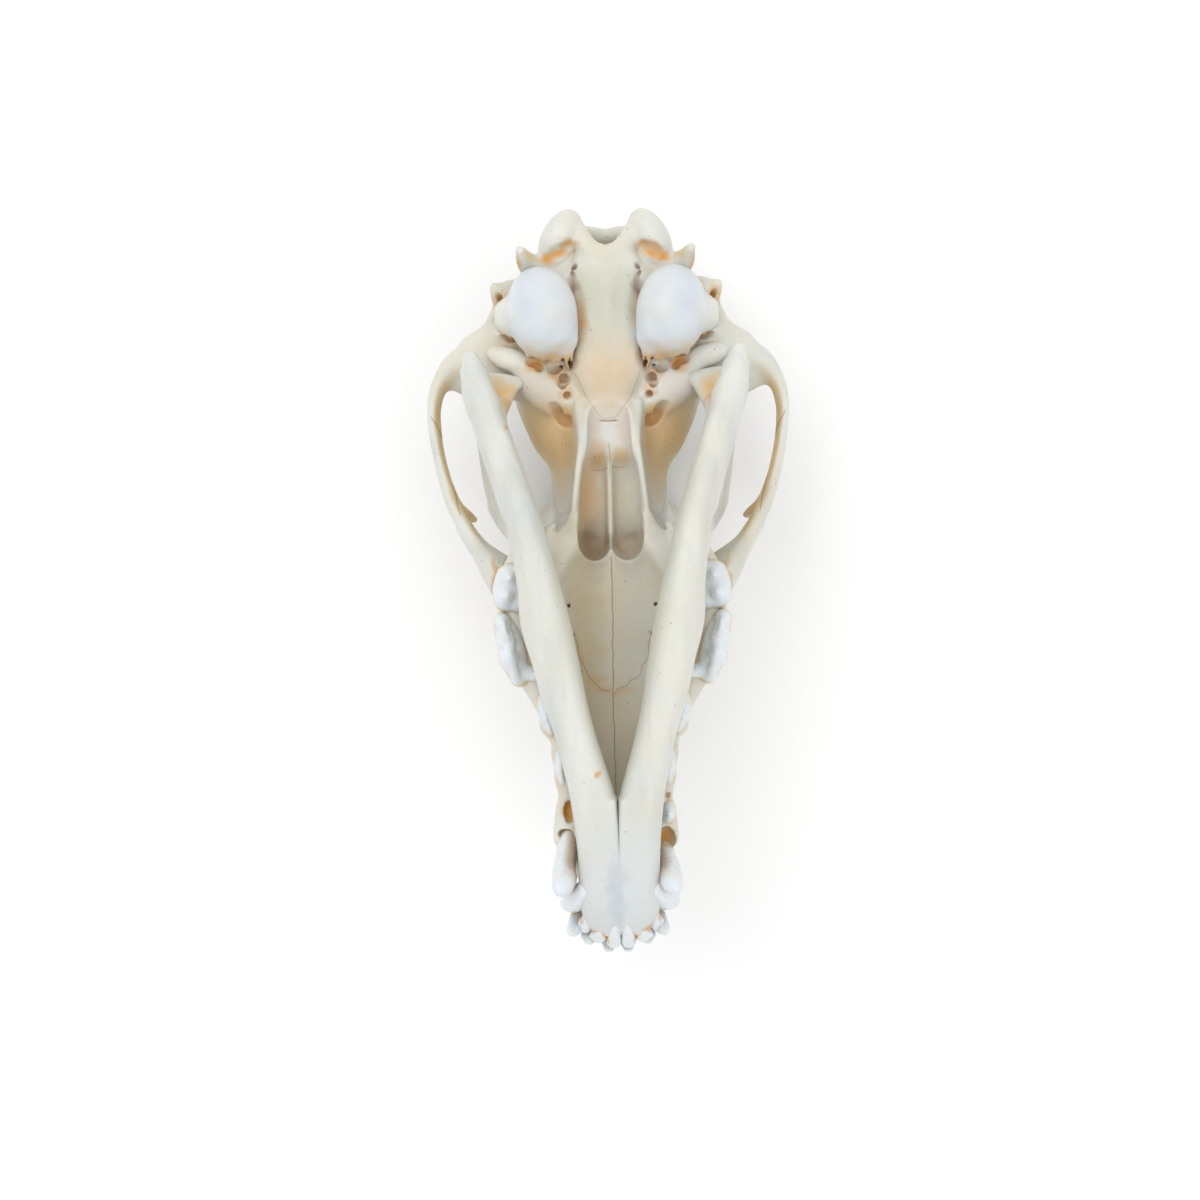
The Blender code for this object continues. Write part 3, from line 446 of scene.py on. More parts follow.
class Clay:
    """A block of space on a grid, with the distance to the surface, negative inside."""

    def __init__(self, low, high, step):
        self.step = step
        self.low = np.asarray(low, float)
        self.count = np.ceil((np.asarray(high) - self.low) / step).astype(int) + 1
        self.field = np.full(self.count, FAR, np.float32)

    def window(self, low, high):
        """The part of the grid between two corners: its slices and its x, y and z."""
        first = np.floor((np.asarray(low) - self.low) / self.step).astype(int)
        last = np.ceil((np.asarray(high) - self.low) / self.step).astype(int) + 1
        first, last = np.clip(first, 0, self.count), np.clip(last, 0, self.count)
        slices = tuple(slice(a, b) for a, b in zip(first, last))
        axes = [
            (self.low[i] + self.step * np.arange(first[i], last[i])).astype(np.float32)
            for i in range(3)
        ]
        return slices, axes[0][:, None, None], axes[1][None, :, None], axes[2][None, None, :]

    def put(self, slices, distance, blend, dig):
        """Adds a body to the clay, or digs it out, with a soft edge as wide as the blend."""
        old = self.field[slices]
        if dig:
            self.field[slices] = -blended(-old, distance, blend)
        else:
            self.field[slices] = blended(old, distance, blend)

    def loft(self, rows, power, blend, dig=False, twin=False):
        """A body along y; with twin, its rows give inner and outer x instead of half widths."""
        table = np.asarray(rows, float)
        reach = blend + 1.5
        wide = table[:, 1:3].max() + reach
        low = (-wide, table[0, 0] - reach, table[:, 3:].min() - reach)
        high = (wide, table[-1, 0] + reach, table[:, 3:].max() + reach)
        slices, x, y, z = self.window(low, high)
        values = along(table, y.ravel()).astype(np.float32)[:, 1:].T[:, None, :, None]
        first, second, top, palate = values
        middle, half = 0.5 * (top + palate), np.maximum(0.5 * (palate - top), 0.2)
        v = (z - middle) / half
        if twin:
            shift, width = 0.5 * (first + second), 0.5 * (second - first)
        else:
            shift = 0.0
            width = 0.5 * (first + second) + 0.5 * (second - first) * np.clip(v, -1.2, 1.2)
        width = np.maximum(width, 0.2)
        distance = section(np.abs(x - shift) / width, np.abs(v), width, half, power)
        distance = np.maximum(distance, np.maximum(table[0, 0] - y, y - table[-1, 0]))
        self.put(slices, distance, blend, dig)

    def plate(self, rows, power, blend):
        """An upright plate from rows of z, front y, back y, middle x front and back, half."""
        table = np.asarray(rows, float)
        reach = blend + 1.5
        low = (table[:, 3:5].min() - 4, table[:, 1].min() - reach, table[0, 0] - reach)
        high = (table[:, 3:5].max() + 4, table[:, 2].max() + reach, table[-1, 0] + reach)
        slices, x, y, z = self.window(low, high)
        values = along(table, z.ravel()).astype(np.float32)[:, 1:].T[:, None, None, :]
        front, back, front_x, back_x, half = values
        v = (y - 0.5 * (front + back)) / (0.5 * (back - front))
        u = x - 0.5 * (front_x + back_x) - 0.5 * (back_x - front_x) * np.clip(v, -1.2, 1.2)
        distance = section(np.abs(u) / half, np.abs(v), half, 0.5 * (back - front), power)
        distance = np.maximum(distance, np.maximum(table[0, 0] - z, z - table[-1, 0]))
        self.put(slices, distance, blend, False)

    def rod(self, path, blend, dig=False, parts=4):
        """A bar of oval section through x, y, z, half thickness and, if given, half height."""
        path = np.asarray(path, float)
        if path.shape[1] == 4:
            path = np.column_stack([path, path[:, 3]])
        path = finer(path, parts)
        path[:, 3:] = np.maximum(path[:, 3:], 0.15)
        reach = path[:, 3:].max() + blend + 1.0
        whole, *_ = self.window(path[:, :3].min(0) - reach, path[:, :3].max(0) + reach)
        distance = np.full([s.stop - s.start for s in whole], FAR, np.float32)
        if distance.size == 0:
            return
        for p, q in zip(path, path[1:]):
            low = np.minimum(p[:3], q[:3]) - reach
            part, x, y, z = self.window(low, np.maximum(p[:3], q[:3]) + reach)
            inner = tuple(slice(s.start - w.start, s.stop - w.start) for s, w in zip(part, whole))
            if distance[inner].size:
                distance[inner] = np.minimum(distance[inner], segment(p, q, x, y, z))
        self.put(whole, distance, blend, dig)

    def blob(self, shape, blend, dig=False):
        """An oval body from its centre, half sizes and turns."""
        centre, halves, (yaw, pitch) = shape
        reach = max(halves) + blend + 1.5
        centre = np.asarray(centre, float)
        slices, x, y, z = self.window(centre - reach, centre + reach)
        turn = Matrix.Rotation(math.radians(-yaw), 3, "Z") @ Matrix.Rotation(
            math.radians(pitch), 3, "X")
        offsets = (x - centre[0], y - centre[1], z - centre[2])
        parts = []
        for i in range(3):
            axis = turn.col[i]
            parts.append(sum(float(axis[k]) * offsets[k] for k in range(3)) / halves[i])
        self.put(slices, oval(parts, halves), blend, dig)

    def both(self):
        """The half block mirrored into a whole one; its first layer lies on the midline."""
        whole = Clay.__new__(Clay)
        whole.step = self.step
        whole.field = np.concatenate([self.field[:0:-1], self.field])
        whole.count = np.array(whole.field.shape)
        whole.low = np.array([-(self.count[0] - 1) * self.step, self.low[1], self.low[2]])
        return whole


def section(u, v, width, height, power):
    """Distance to a rounded section from its scaled coordinates; a higher power is squarer."""
    r = np.maximum((u ** power + v ** power) ** (1.0 / power), 1e-3)
    slope = np.sqrt(((u / r) ** (power - 1) / width) ** 2 + ((v / r) ** (power - 1) / height) ** 2)
    return (r - 1.0) / slope


ADD, DIG = False, True


def shape_all(clay, forms):
    """Works through forms of a shape, a blend and ADD or DIG; a blob's shape ends with its turns."""
    for shape, blend, dig in forms:
        body = clay.blob if len(shape[-1]) == 2 else clay.rod
        body(shape, blend, dig=dig)


def oval(parts, halves):
    """Distance to an oval body from its scaled coordinates."""
    near = np.sqrt(sum(p * p for p in parts))
    steep = np.sqrt(sum((p / h) ** 2 for p, h in zip(parts, halves)))
    return near * (near - 1.0) / np.maximum(steep, 1e-5)


def segment(p, q, x, y, z):
    """Distance to one stretch of a bar, whose section changes from p to q."""
    way = q[:3] - p[:3]
    length = max(float(np.linalg.norm(way)), 1e-6)
    ahead = way / length
    side = np.cross(ahead, (0.0, 0.0, 1.0))
    if np.linalg.norm(side) < 0.25:
        side = np.cross(ahead, (0.0, 1.0, 0.0))
    side /= np.linalg.norm(side)
    upward = np.cross(side, ahead)
    dx, dy, dz = x - p[0], y - p[1], z - p[2]
    t = unit((dx * ahead[0] + dy * ahead[1] + dz * ahead[2]) / length)
    dx, dy, dz = dx - t * way[0], dy - t * way[1], dz - t * way[2]
    thick, tall = p[3] + t * (q[3] - p[3]), p[4] + t * (q[4] - p[4])
    u = (dx * side[0] + dy * side[1] + dz * side[2]) / thick
    v = (dx * upward[0] + dy * upward[1] + dz * upward[2]) / tall
    w = (dx * ahead[0] + dy * ahead[1] + dz * ahead[2]) / np.minimum(thick, tall)
    return oval((u, v, w), (thick, tall, np.minimum(thick, tall))).astype(np.float32)


def surface_net(field, low, step):
    """Points and four-sided faces of the zero level."""
    inside = field < 0.0
    size = np.array(field.shape) - 1
    count = np.zeros(size, np.int8)
    for i, j, k in CORNERS:
        count += inside[i:i + size[0], j:j + size[1], k:k + size[2]]
    mixed = (count > 0) & (count < 8)
    cells = np.argwhere(mixed)
    index = np.full(size, -1, np.int32)
    index[mixed] = np.arange(len(cells))
    values = [field[cells[:, 0] + i, cells[:, 1] + j, cells[:, 2] + k] for i, j, k in CORNERS]
    total, hits = np.zeros((len(cells), 3)), np.zeros(len(cells))
    for a, b in EDGES:
        crossed = (values[a] < 0.0) != (values[b] < 0.0)
        fa, fb = values[a][crossed], values[b][crossed]
        share = (fa / (fa - fb))[:, None]
        total[crossed] += np.array(CORNERS[a]) + share * (np.array(CORNERS[b]) - CORNERS[a])
        hits[crossed] += 1
    points = low + step * (cells + total / hits[:, None])
    faces = []
    for axis in range(3):
        one, two = (axis + 1) % 3, (axis + 2) % 3
        here = [slice(1, -1)] * 3
        here[axis] = slice(0, -1)
        there = list(here)
        there[axis] = slice(1, None)
        first, second = inside[tuple(here)], inside[tuple(there)]
        for start, flip in ((first & ~second, False), (second & ~first, True)):
            place = np.argwhere(start)
            place[:, one] += 1
            place[:, two] += 1
            back_one, back_two = np.zeros(3, int), np.zeros(3, int)
            back_one[one] = 1
            back_two[two] = 1
            ring = [place - back_one - back_two, place - back_two, place, place - back_one]
            quad = np.stack([index[tuple(r.T)] for r in ring], axis=1)
            faces.append(quad[:, ::-1] if flip else quad)
    return points, np.concatenate(faces)


# Where each bone ends, as outlines seen from the side (y, z) or from above (x, y)
FRONT, BACK, CROWN, PALATE_SIDE = -120, 130, -20, 110
PREMAXILLA_OUTLINE = (
    (FRONT, CROWN), (-56, CROWN), (-58, 24), (-63, 34), (-71, 50),
    (-76, 61), (-77.4, PALATE_SIDE), (FRONT, PALATE_SIDE),
)
FRONTAL_OUTLINE = (
    (-10, CROWN), (-8, 17), (1, 27), (14, 31), (30, 29), (42, 14),
    (47, CROWN),
)
MAXILLA_OUTLINE = (
    (FRONT, CROWN), (20, CROWN), (18, 34), (17, 48), (20, PALATE_SIDE),
    (FRONT, PALATE_SIDE),
)
OCCIPITAL_OUTLINE = (
    (98, CROWN), (95.5, 9), (88.5, 30), (85.5, 44), (84, PALATE_SIDE),
    (BACK, PALATE_SIDE), (BACK, CROWN),
)
NASAL_SIDE_OUTLINE = (
    (-96, 34), (-70, 31), (-40, 27), (-12, 19.5), (4, 12), (4, CROWN),
    (-96, CROWN),
)
NASAL_TOP_OUTLINE = (
    (-6.4, -96), (6.4, -96), (6.4, -70), (5.6, -40), (4.6, -14), (2, -4),
    (-2, -4), (-4.6, -14), (-5.6, -40), (-6.4, -70),
)
# Bones cut out by one outline seen from the side, with the seed of its teeth
SIDE_SHARES = (
    ("premaxilla", PREMAXILLA_OUTLINE, 6),
    ("frontal_bones", FRONTAL_OUTLINE, 7),
    ("occipital_bone", OCCIPITAL_OUTLINE, 8),
    ("maxilla", MAXILLA_OUTLINE, 9),
)
ARCH_TOP_OUTLINE = (
    (33, -12), (32, 4), (26.6, 13.5), (26.6, 40), (34, 53), (38.4, 57),
    (39.6, 80), (70, 80), (70, -12),
)


# Seams drawn on the surface: x, y along each, how strongly it shows, its lowest and highest z,
# how far it swings and the sides it is drawn on
ONCE = (1.0,)
TWICE = (-1.0, 1.0)
DRAWN_SEAMS = (
    (((0, 11), (0.1, -6), (-0.2, -24), (0.1, -46), (0, -60)), 0.8, 50, 60, 0.16, ONCE),
    (((-9.6, -10), (-9, -15), (-6.4, -20.4), (-3, -23.6), (0, -24.4), (3.4, -22.6),
      (7, -19.4), (9.4, -14.4), (9.8, -10)), 0.6, 50, 60, 0.4, ONCE),
    (((8.6, 60), (6, 53.8), (2, 48.2)), 0.35, 48, 56, 0.25, TWICE),
    (((-1.9, 47.4), (0, 47.2), (1.9, 47.4)), 1, 46, 56, 0.05, ONCE),
    (((0, 41), (0.2, 37), (0, 33)), 0.6, 42, 56, 0.1, ONCE),
    (((-4.6, 34.8), (-2, 34.4), (0.4, 35.4), (3.8, 35.2)), 0.4, 43, 56, 0.4, ONCE),
    (((47.4, 49.8), (45.6, 46.6), (43.9, 39.6), (42.1, 31.9), (40.1, 23.7)), 0.7, 36, 50, 0.1, TWICE),
)


def jagged(outline, step=2.4, swing=0.4, seed=3, closed=True):
    """The outline with small random teeth along its sides, as a bone seam has."""
    random = np.random.default_rng(seed)
    points = []
    for p, q in zip(outline, outline[1:] + outline[:1] if closed else outline[1:]):
        p, q = np.array(p), np.array(q)
        parts = max(1, int(np.linalg.norm(q - p) / step))
        across = np.array([q[1] - p[1], p[0] - q[0]]) / max(np.linalg.norm(q - p), 1e-6)
        for i in range(parts):
            points.append(p + (q - p) * i / parts + across * swing * (random.random() * 2 - 1))
    return points


def outline_distance(outline, a, b):
    """Distance to a closed outline in the plane, negative inside."""
    a, b = np.broadcast_arrays(a, b)
    inside = np.zeros(a.shape, bool)
    nearest = np.full(a.shape, 1e9, np.float32)
    points = [np.asarray(p, float) for p in outline]
    for p, q in zip(points, points[1:] + points[:1]):
        way = q - p
        t = unit(((a - p[0]) * way[0] + (b - p[1]) * way[1]) / (way @ way))
        nearest = np.minimum(nearest, (a - p[0] - t * way[0]) ** 2 + (b - p[1] - t * way[1]) ** 2)
        if p[1] != q[1]:
            crossed = (p[1] > b) != (q[1] > b)
            inside ^= crossed & (a < (b - p[1]) * way[0] / way[1] + p[0])
    return np.where(inside, -1.0, 1.0) * np.sqrt(nearest)


def sculpt_skull():
    """The upper skull as one half block; x is never below 0 but for one layer."""
    clay = Clay(*SKULL_BLOCK, BONE_STEP)
    clay.loft(BRAINCASE, 2.2, 1.0)
    clay.loft(FACE, 2.7, 4.0)
    clay.loft(FRONTALS, 2.6, 4.0)
    clay.loft(PTERYGOIDS, 3.0, 3.0)
    clay.loft(CHEEK_SHELF, 3.0, 2.0)
    clay.blob(OCCIPITAL_PLATE, 3.0)
    clay.blob(OCCIPITAL_TOP, 3.0)
    clay.blob(FRONTAL_BOSS, 4.0)
    clay.rod(ROOF_RIDGE, 4.0)
    clay.rod(CREST, 3.0)
    clay.rod(ARCH, 2.0)
    clay.rod(ORBIT_RIM, 2.5)
    clay.rod(NUCHAL_CREST, 3.5)
    clay.rod(ROOT_CREST, 4.0)
    clay.blob(CONDYLE, 1.2)
    clay.rod(PARACONDYLAR, 2.0)
    clay.rod(MASTOID, 2.0)
    clay.rod(EAR_TUBE, 2.0)
    clay.rod(BROW, 3.0)
    clay.rod(TEMPORAL_LINE, 3.5)
    clay.blob(JOINT_SHELF, 3.0)
    clay.blob(ORBIT_HOLLOW, 4.0, dig=True)
    # the rim once more, because the hollow cuts into it
    clay.rod(ORBIT_RIM, 1.6)
    clay.rod(JUGAL_SPUR, 1.0)
    clay.rod(ARCH_ROOT, 2.0)
    clay.loft(PALATE_VAULT, 2.4, 2.0, dig=True)
    clay.loft(THROAT_FOSSA, 3.2, 0.8, dig=True)
    clay.loft(NOSTRIL, 2.3, 1.0, dig=True)
    clay.loft(BRAIN_HOLLOW, 2.2, 1.0, dig=True)
    clay.loft(SKULL_BASE, 2.6, 1.6)
    clay.blob(FORAMEN_MAGNUM, 1.2, dig=True)
    detail_base(clay)
    detail_face(clay)
    return clay


# Slanting holes in the base: x and y of one end, of the other, half width, depth
BASE_SLOTS = (
    (8.9, 86, 8.2, 88.4, 0.75, 1.6),
    (14.8, 61.8, 11.4, 58.6, 1.35, 2.2),
    (12.4, 57.6, 10.8, 54.2, 1, 1.8),
    (14.6, 50.8, 10.4, 47.4, 1.8, 2.6),
    (20.6, 63.6, 18, 61.8, 1.1, 1.6),
    (27.4, 70, 23.8, 70.8, 1.3, 3),
    (28.8, 81.4, 27.2, 79.8, 0.9, 1.6),
    (9.2, 66.6, 10, 62.2, 0.9, 2.2),
    (11.6, 65, 12.4, 61.8, 0.6, 1.6),
)


def surface_level(clay, x, y):
    """The height of the surface that faces up at one place."""
    i, j = (int(round((value - low) / clay.step)) for value, low in zip((x, y), clay.low))
    solid = np.flatnonzero(clay.field[i, j] < 0.0)
    return clay.low[2] + clay.step * solid[-1]


def dig_slot(clay, x, y, end_x, end_y, size, depth):
    """A boat-shaped hole that is deepest two thirds of the way along."""
    path = []
    for share, sink in ((0.0, -0.2 * size), (0.65, depth), (1.0, 0.0)):
        here_x, here_y = x + share * (end_x - x), y + share * (end_y - y)
        path.append((here_x, here_y, surface_level(clay, here_x, here_y) - sink, size))
    clay.rod(path, 0.5 * size, dig=True)


# Lines between the middle bone of the base and the wings, and the joint across it
BASE_LINES = (
    (((8.2, 59, 53.6, 0.4), (5.4, 53.6, 52.9, 0.45), (1.8, 47.4, 50.9, 0.45)), 0.5, DIG),
    (((0, 47.3, 50.6, 0.5), (1.8, 47.3, 50.2, 0.4)), 0.3, DIG),
)


# Small forms of the base, in the order in which they are added or dug out
BASE_FORMS = (
    # rim of the great hole, which runs up into the condyles
    (((0, 91.5, 48.6, 2.5), (3.5, 92.7, 48.6, 2.6), (7.4, 98, 46.8, 2.6),
     (9.4, 101, 45.4, 2.7)), 1.2, ADD),
    (((0, 98.4, 33.2, 2.7), (5.5, 99, 34.4, 2.8), (9.5, 98, 38, 2.8)), 1.5, ADD),
    # trough of the jaw joint, and the lip behind it
    (((24, 59.6, 48.2, 2.2), (30, 58.8, 47.6, 3.2), (38, 58.2, 47, 2.8)), 2, DIG),
    (((25.8, 64.5, 45.6), (6.6, 3.1, 2.7), (-20, 0)), 1.6, ADD),
    # hollows along the base in front of the condyles
    (((3.7, 80, 53.4), (1.9, 7, 1.5), (4, 0)), 1.8, DIG),
    (((12.4, 92, 50.4), (4.4, 1.9, 2.6), (28, 0)), 1.4, DIG),
    (((13.6, 88, 49.6), (2.6, 2.4, 1.7), (0, 0)), 1.4, DIG),
    (((9.4, 84.6, 53, 1.4), (8.5, 81.4, 51, 1.5), (7.7, 78.4, 52, 0.6)), 0.8, DIG),
    # hole of the ear, seen from the side
    (((36, 74.4, 46.6, 3), (20, 74.6, 47.4, 2.6)), 1.2, DIG),
    # sheet of bone between the throat and the jaw joint, and the temple in front of it
    (((20.6, 43, 51.5), (9.5, 8, 8), (-20, 0)), 3, DIG),
    (((15.6, 56.6, 45.2), (9.6, 6.2, 4.4), (-26, 0)), 3, ADD),
    (THROAT_RIM, 2.0, ADD),
)


def detail_base(clay):
    """Knobs, crests and holes on the underside between the palate and the condyles."""
    shape_all(clay, BASE_FORMS)
    for slot in BASE_SLOTS:
        dig_slot(clay, *slot)
    shape_all(clay, BASE_LINES)


# Small forms of the palate, brow and cheek, in the order in which they are made
PALATE_FORMS = (
    # spine and notches at the back edge of the palate
    (((4.4, 15.4, 52), (4.4, 5, 11), (0, 0)), 0.8, DIG),
    (((0, 7, 52.2, 1.1), (0, 12.6, 53, 0.5)), 0.8, ADD),
    (((17.4, 13, 56.4, 2), (16.2, 18.2, 55.4, 1.5), (15, 19.8, 54.6, 0.7)), 1, ADD),
    # palate holes and the slits behind the front teeth
    (((10.4, -8.8, 54, 0.45), (10.3, -10.2, 51.6, 0.4)), 0.4, DIG),
    (((11.5, -1.2, 54, 0.5), (11.4, -2.4, 51.4, 0.4)), 0.4, DIG),
    (((2.8, -73.4, 57, 1.1), (3.2, -66, 56, 1.3)), 0.6, DIG),
    # groove between the brow knobs
    (((0, -12, 8, 3), (0, 6, -1, 3.2), (0, 30, -1.6, 3)), 5, DIG),
    # cheekbone lying along the outside of the arch, with its edge as a low step
    (((46.6, 48.6, 38.6, 0.9, 3), (46.2, 43, 39.2, 1.2, 3.4), (44.2, 34, 39.6, 1.3, 3.6),
     (41.2, 25.4, 39.4, 1.5, 4.2)), 0.3, ADD),
)


# Small forms of the face, in the order in which they are made
FACE_FORMS = (
    (UPPER_RIM, 2.0, ADD),
    # canal under the eye
    (((22.5, -24, 41, 2.2, 3.2), (20, -16, 41, 1.9, 2.8), (19, -2, 40, 1.7, 2.2)), 1.2, DIG),
    (((17.5, -27, 41.5, 1.6, 2.4), (20.6, -20.6, 41, 1.9, 2.8)), 2, DIG),
    # swelling over the root of the canine
    (((10.8, -48, 38, 3), (12.2, -56, 47, 3.8), (12.8, -62, 57, 3.4)), 3, ADD),
)


# Middle of the low swelling over each root of the cheek teeth
ROOT_SWELLINGS = (
    (26.2, -19, 52), (27, -6, 52), (19.4, -33, 53), (18.4, -27.6, 53), (15.6, -46.2, 54),
    (16.2, -40.4, 54),
)


def detail_face(clay):
    """Holes, roots and edges of the face, the palate and the cheek."""
    shape_all(clay, FACE_FORMS)
    for x, y, z in ROOT_SWELLINGS:
        clay.rod(((x - 3.6, y + 1.0, z - 6.0, 0.8), (x - 2.0, y, z + 3.4, 1.4)), 4.0)
    shape_all(clay, PALATE_FORMS)


def sculpt_bulla():
    """The right ear capsule, with the spikes of its front end and the tube on its outer side."""
    clay = Clay(*CAPSULE_BLOCK, BONE_STEP)
    clay.blob(BULLA, 1.0)
    clay.blob(((12.6, 70.6, 50.6), (4.6, 5, 7.4), (0, 0)), 2.2)
    for x, y, lean, tip_y, size in CAPSULE_SPIKES:
        middle = (x - 0.4 * lean, 0.6 * y + 0.4 * tip_y, 52.4, 0.6 * size)
        clay.rod(((x, y, 53.0, 1.5 * size), middle, (x - lean, tip_y, 51.4, 0.2)), 1.6)
    clay.blob(((25, 76, 46.8), (5.4, 5, 4.6), (8, 0)), 3.6)
    return clay


# Small forms of the jaw, in the order in which they are made
JAW_FORMS = (
    # hollow for the chewing muscle on the outside, with its raised edges
    (((36, 36, 52), (3.6, 13, 15), (14, 0)), 3, DIG),
    (((24, 14.5, 68, 1.2), (25.6, 18, 50, 1.3), (30.6, 26, 30, 1)), 3.5, ADD),
    (((26, 24, 66, 1.6), (30.2, 38, 63, 1.6), (34.8, 54, 60, 1.4)), 3, ADD),
    # hole on the inside of the branch, and two holes beside the chin
    (((24, 36, 60, 1.7), (28.5, 33, 60.4, 1.3)), 1.2, DIG),
    (((13, -50, 70, 1.3), (8.6, -47, 70, 0.9)), 0.8, DIG),
    (((14, -38, 72, 0.9), (10.6, -36, 72, 0.7)), 0.8, DIG),
)


def sculpt_jaw():
    """One half of the lower jaw, on the right."""
    clay = Clay(*JAW_BLOCK, BONE_STEP)
    clay.loft(JAW_BODY, 2.6, 1.0, twin=True)
    clay.plate(JAW_RAMUS, 2.4, 3.0)
    clay.rod(JAW_CONDYLE, 1.6)
    clay.rod(JAW_NECK, 3.0)
    clay.rod(JAW_WEB, 2.0)
    clay.rod(JAW_ANGLE, 3.0)
    clay.loft(SYMPHYSIS, 7.0, 1.5, twin=True)
    clay.rod(LOWER_RIM, 1.6)
    shape_all(clay, JAW_FORMS)
    return clay


# Teeth. Rods in each crown: across (out of the mouth), along (backwards), height from the
# gum, radius; shares of the tooth's half width, half length and height
BLADE_CROWN = (
    ((0, -0.84, -0.1, 0.66), (0, -0.3, 0.06, 0.9), (0, 0.3, 0.06, 0.9), (0, 0.84, -0.1, 0.66)),
    ((0, -0.12, 0.1, 0.86), (0, -0.1, 0.6, 0.46), (0, -0.08, 1, 0.12)),
    ((0, -0.8, 0.12, 0.4), (0, -0.1, 0.9, 0.14)),
    ((0, -0.08, 0.9, 0.14), (0, 0.4, 0.34, 0.34), (0, 0.52, 0.44, 0.18)),
    ((0, 0.52, 0.44, 0.18), (0, 0.86, 0.12, 0.34)),
)
CARNASSIAL_CROWN = (
    ((0.1, -0.8, -0.1, 0.78), (0.1, -0.3, 0, 1), (0.1, 0.3, 0, 0.98), (0.2, 0.82, -0.1, 0.8)),
    ((0.3, -0.24, 0, 1), (0.3, -0.2, 0.5, 0.62), (0.2, -0.14, 1, 0.16)),
    ((0.3, -0.86, 0.1, 0.4), (0.25, -0.2, 0.82, 0.24)),
    ((0.25, -0.12, 0.84, 0.24), (0.15, 0.22, 0.4, 0.46), (0.1, 0.34, 0.46, 0.34)),
    ((0.2, 0.3, 0.16, 0.86), (0.2, 0.36, 0.56, 0.3), (0.2, 0.8, 0.6, 0.26), (0.25, 0.88, 0.16, 0.56)),
    ((0.2, 0.42, 0.24, 0.62), (0.2, 0.6, 0.42, 0.44), (0.2, 0.78, 0.26, 0.56)),
    ((-0.4, -0.7, 0, 0.62), (-1.1, -0.82, 0.06, 0.56), (-1.2, -0.82, 0.3, 0.3)),
)
GRINDER_CROWN = (
    ((0.5, -0.56, -0.1, 0.74), (0.56, 0, 0, 0.78), (0.46, 0.52, -0.1, 0.7)),
    ((0.55, -0.44, 0.1, 0.62), (0.52, -0.42, 0.56, 0.42), (0.46, -0.4, 1, 0.12)),
    ((0.5, 0.42, 0.1, 0.58), (0.46, 0.42, 0.46, 0.38), (0.42, 0.4, 0.84, 0.12)),
    ((0.3, -0.1, -0.14, 0.66), (-0.3, 0, -0.12, 0.64), (-0.8, 0.14, -0.16, 0.46)),
    ((-0.2, -0.34, 0, 0.44), (-0.3, -0.36, 0.34, 0.18)),
    ((-0.84, -0.2, 0, 0.3), (-0.92, 0.2, 0.22, 0.24), (-0.7, 0.6, 0.1, 0.24)),
    ((0.94, -0.6, 0.06, 0.24), (0.98, 0, 0.1, 0.2), (0.88, 0.6, 0.04, 0.22)),
)
SHEAR_CROWN = (
    ((0, -0.86, -0.1, 0.66), (0, -0.3, 0, 0.92), (0, 0.3, 0, 0.92), (0, 0.84, -0.1, 0.74)),
    ((0, -0.6, 0.1, 0.74), (0, -0.66, 0.5, 0.42), (0, -0.62, 0.76, 0.14)),
    ((0, 0, 0.1, 0.84), (0, -0.06, 0.6, 0.44), (0, -0.02, 1, 0.12)),
    ((0, -0.62, 0.74, 0.14), (0, -0.34, 0.5, 0.22), (0, -0.04, 0.92, 0.14)),
    ((0.3, 0.5, 0, 0.54), (0.35, 0.6, 0.4, 0.18)),
    ((-0.4, 0.56, 0, 0.44), (-0.4, 0.62, 0.3, 0.16)),
)
UPPER_TEETH = (
    # name, x, y, half width, half length, tip level, turn, crown
    ("p1", 13.7, -55.6, 2.1, 2.6, 62.4, 8, BLADE_CROWN),
    ("p2", 14.1, -43.3, 2, 5.8, 62.8, 6, BLADE_CROWN),
    ("p3", 17.6, -29.6, 2.4, 6.3, 64.4, 15, BLADE_CROWN),
    ("p4", 26, -12.5, 4.3, 10.2, 68, 14, CARNASSIAL_CROWN),
    ("m1", 24.3, 3.6, 6.6, 6.4, 64.2, -6, GRINDER_CROWN),
    ("m2", 21.4, 13, 4.8, 3.2, 61.8, -14, GRINDER_CROWN),
)
LOWER_TEETH = (
    ("p1", 9.2, -60, 1.5, 2.2, 61, 4, BLADE_CROWN),
    ("p2", 10.2, -50.6, 1.8, 4, 60.2, 6, BLADE_CROWN),
    ("p3", 11.8, -40.4, 1.9, 4.8, 59.8, 10, BLADE_CROWN),
    ("p4", 14, -28.4, 2.2, 5.6, 59.4, 12, BLADE_CROWN),
    ("m1", 17, -12.4, 2.5, 9.6, 57.2, 12, SHEAR_CROWN),
    ("m2", 19.6, 3.6, 2.5, 4.2, 61.4, 14, SHEAR_CROWN),
    ("m3", 21.2, 11, 1.7, 1.8, 61.6, 14, BLADE_CROWN),
)
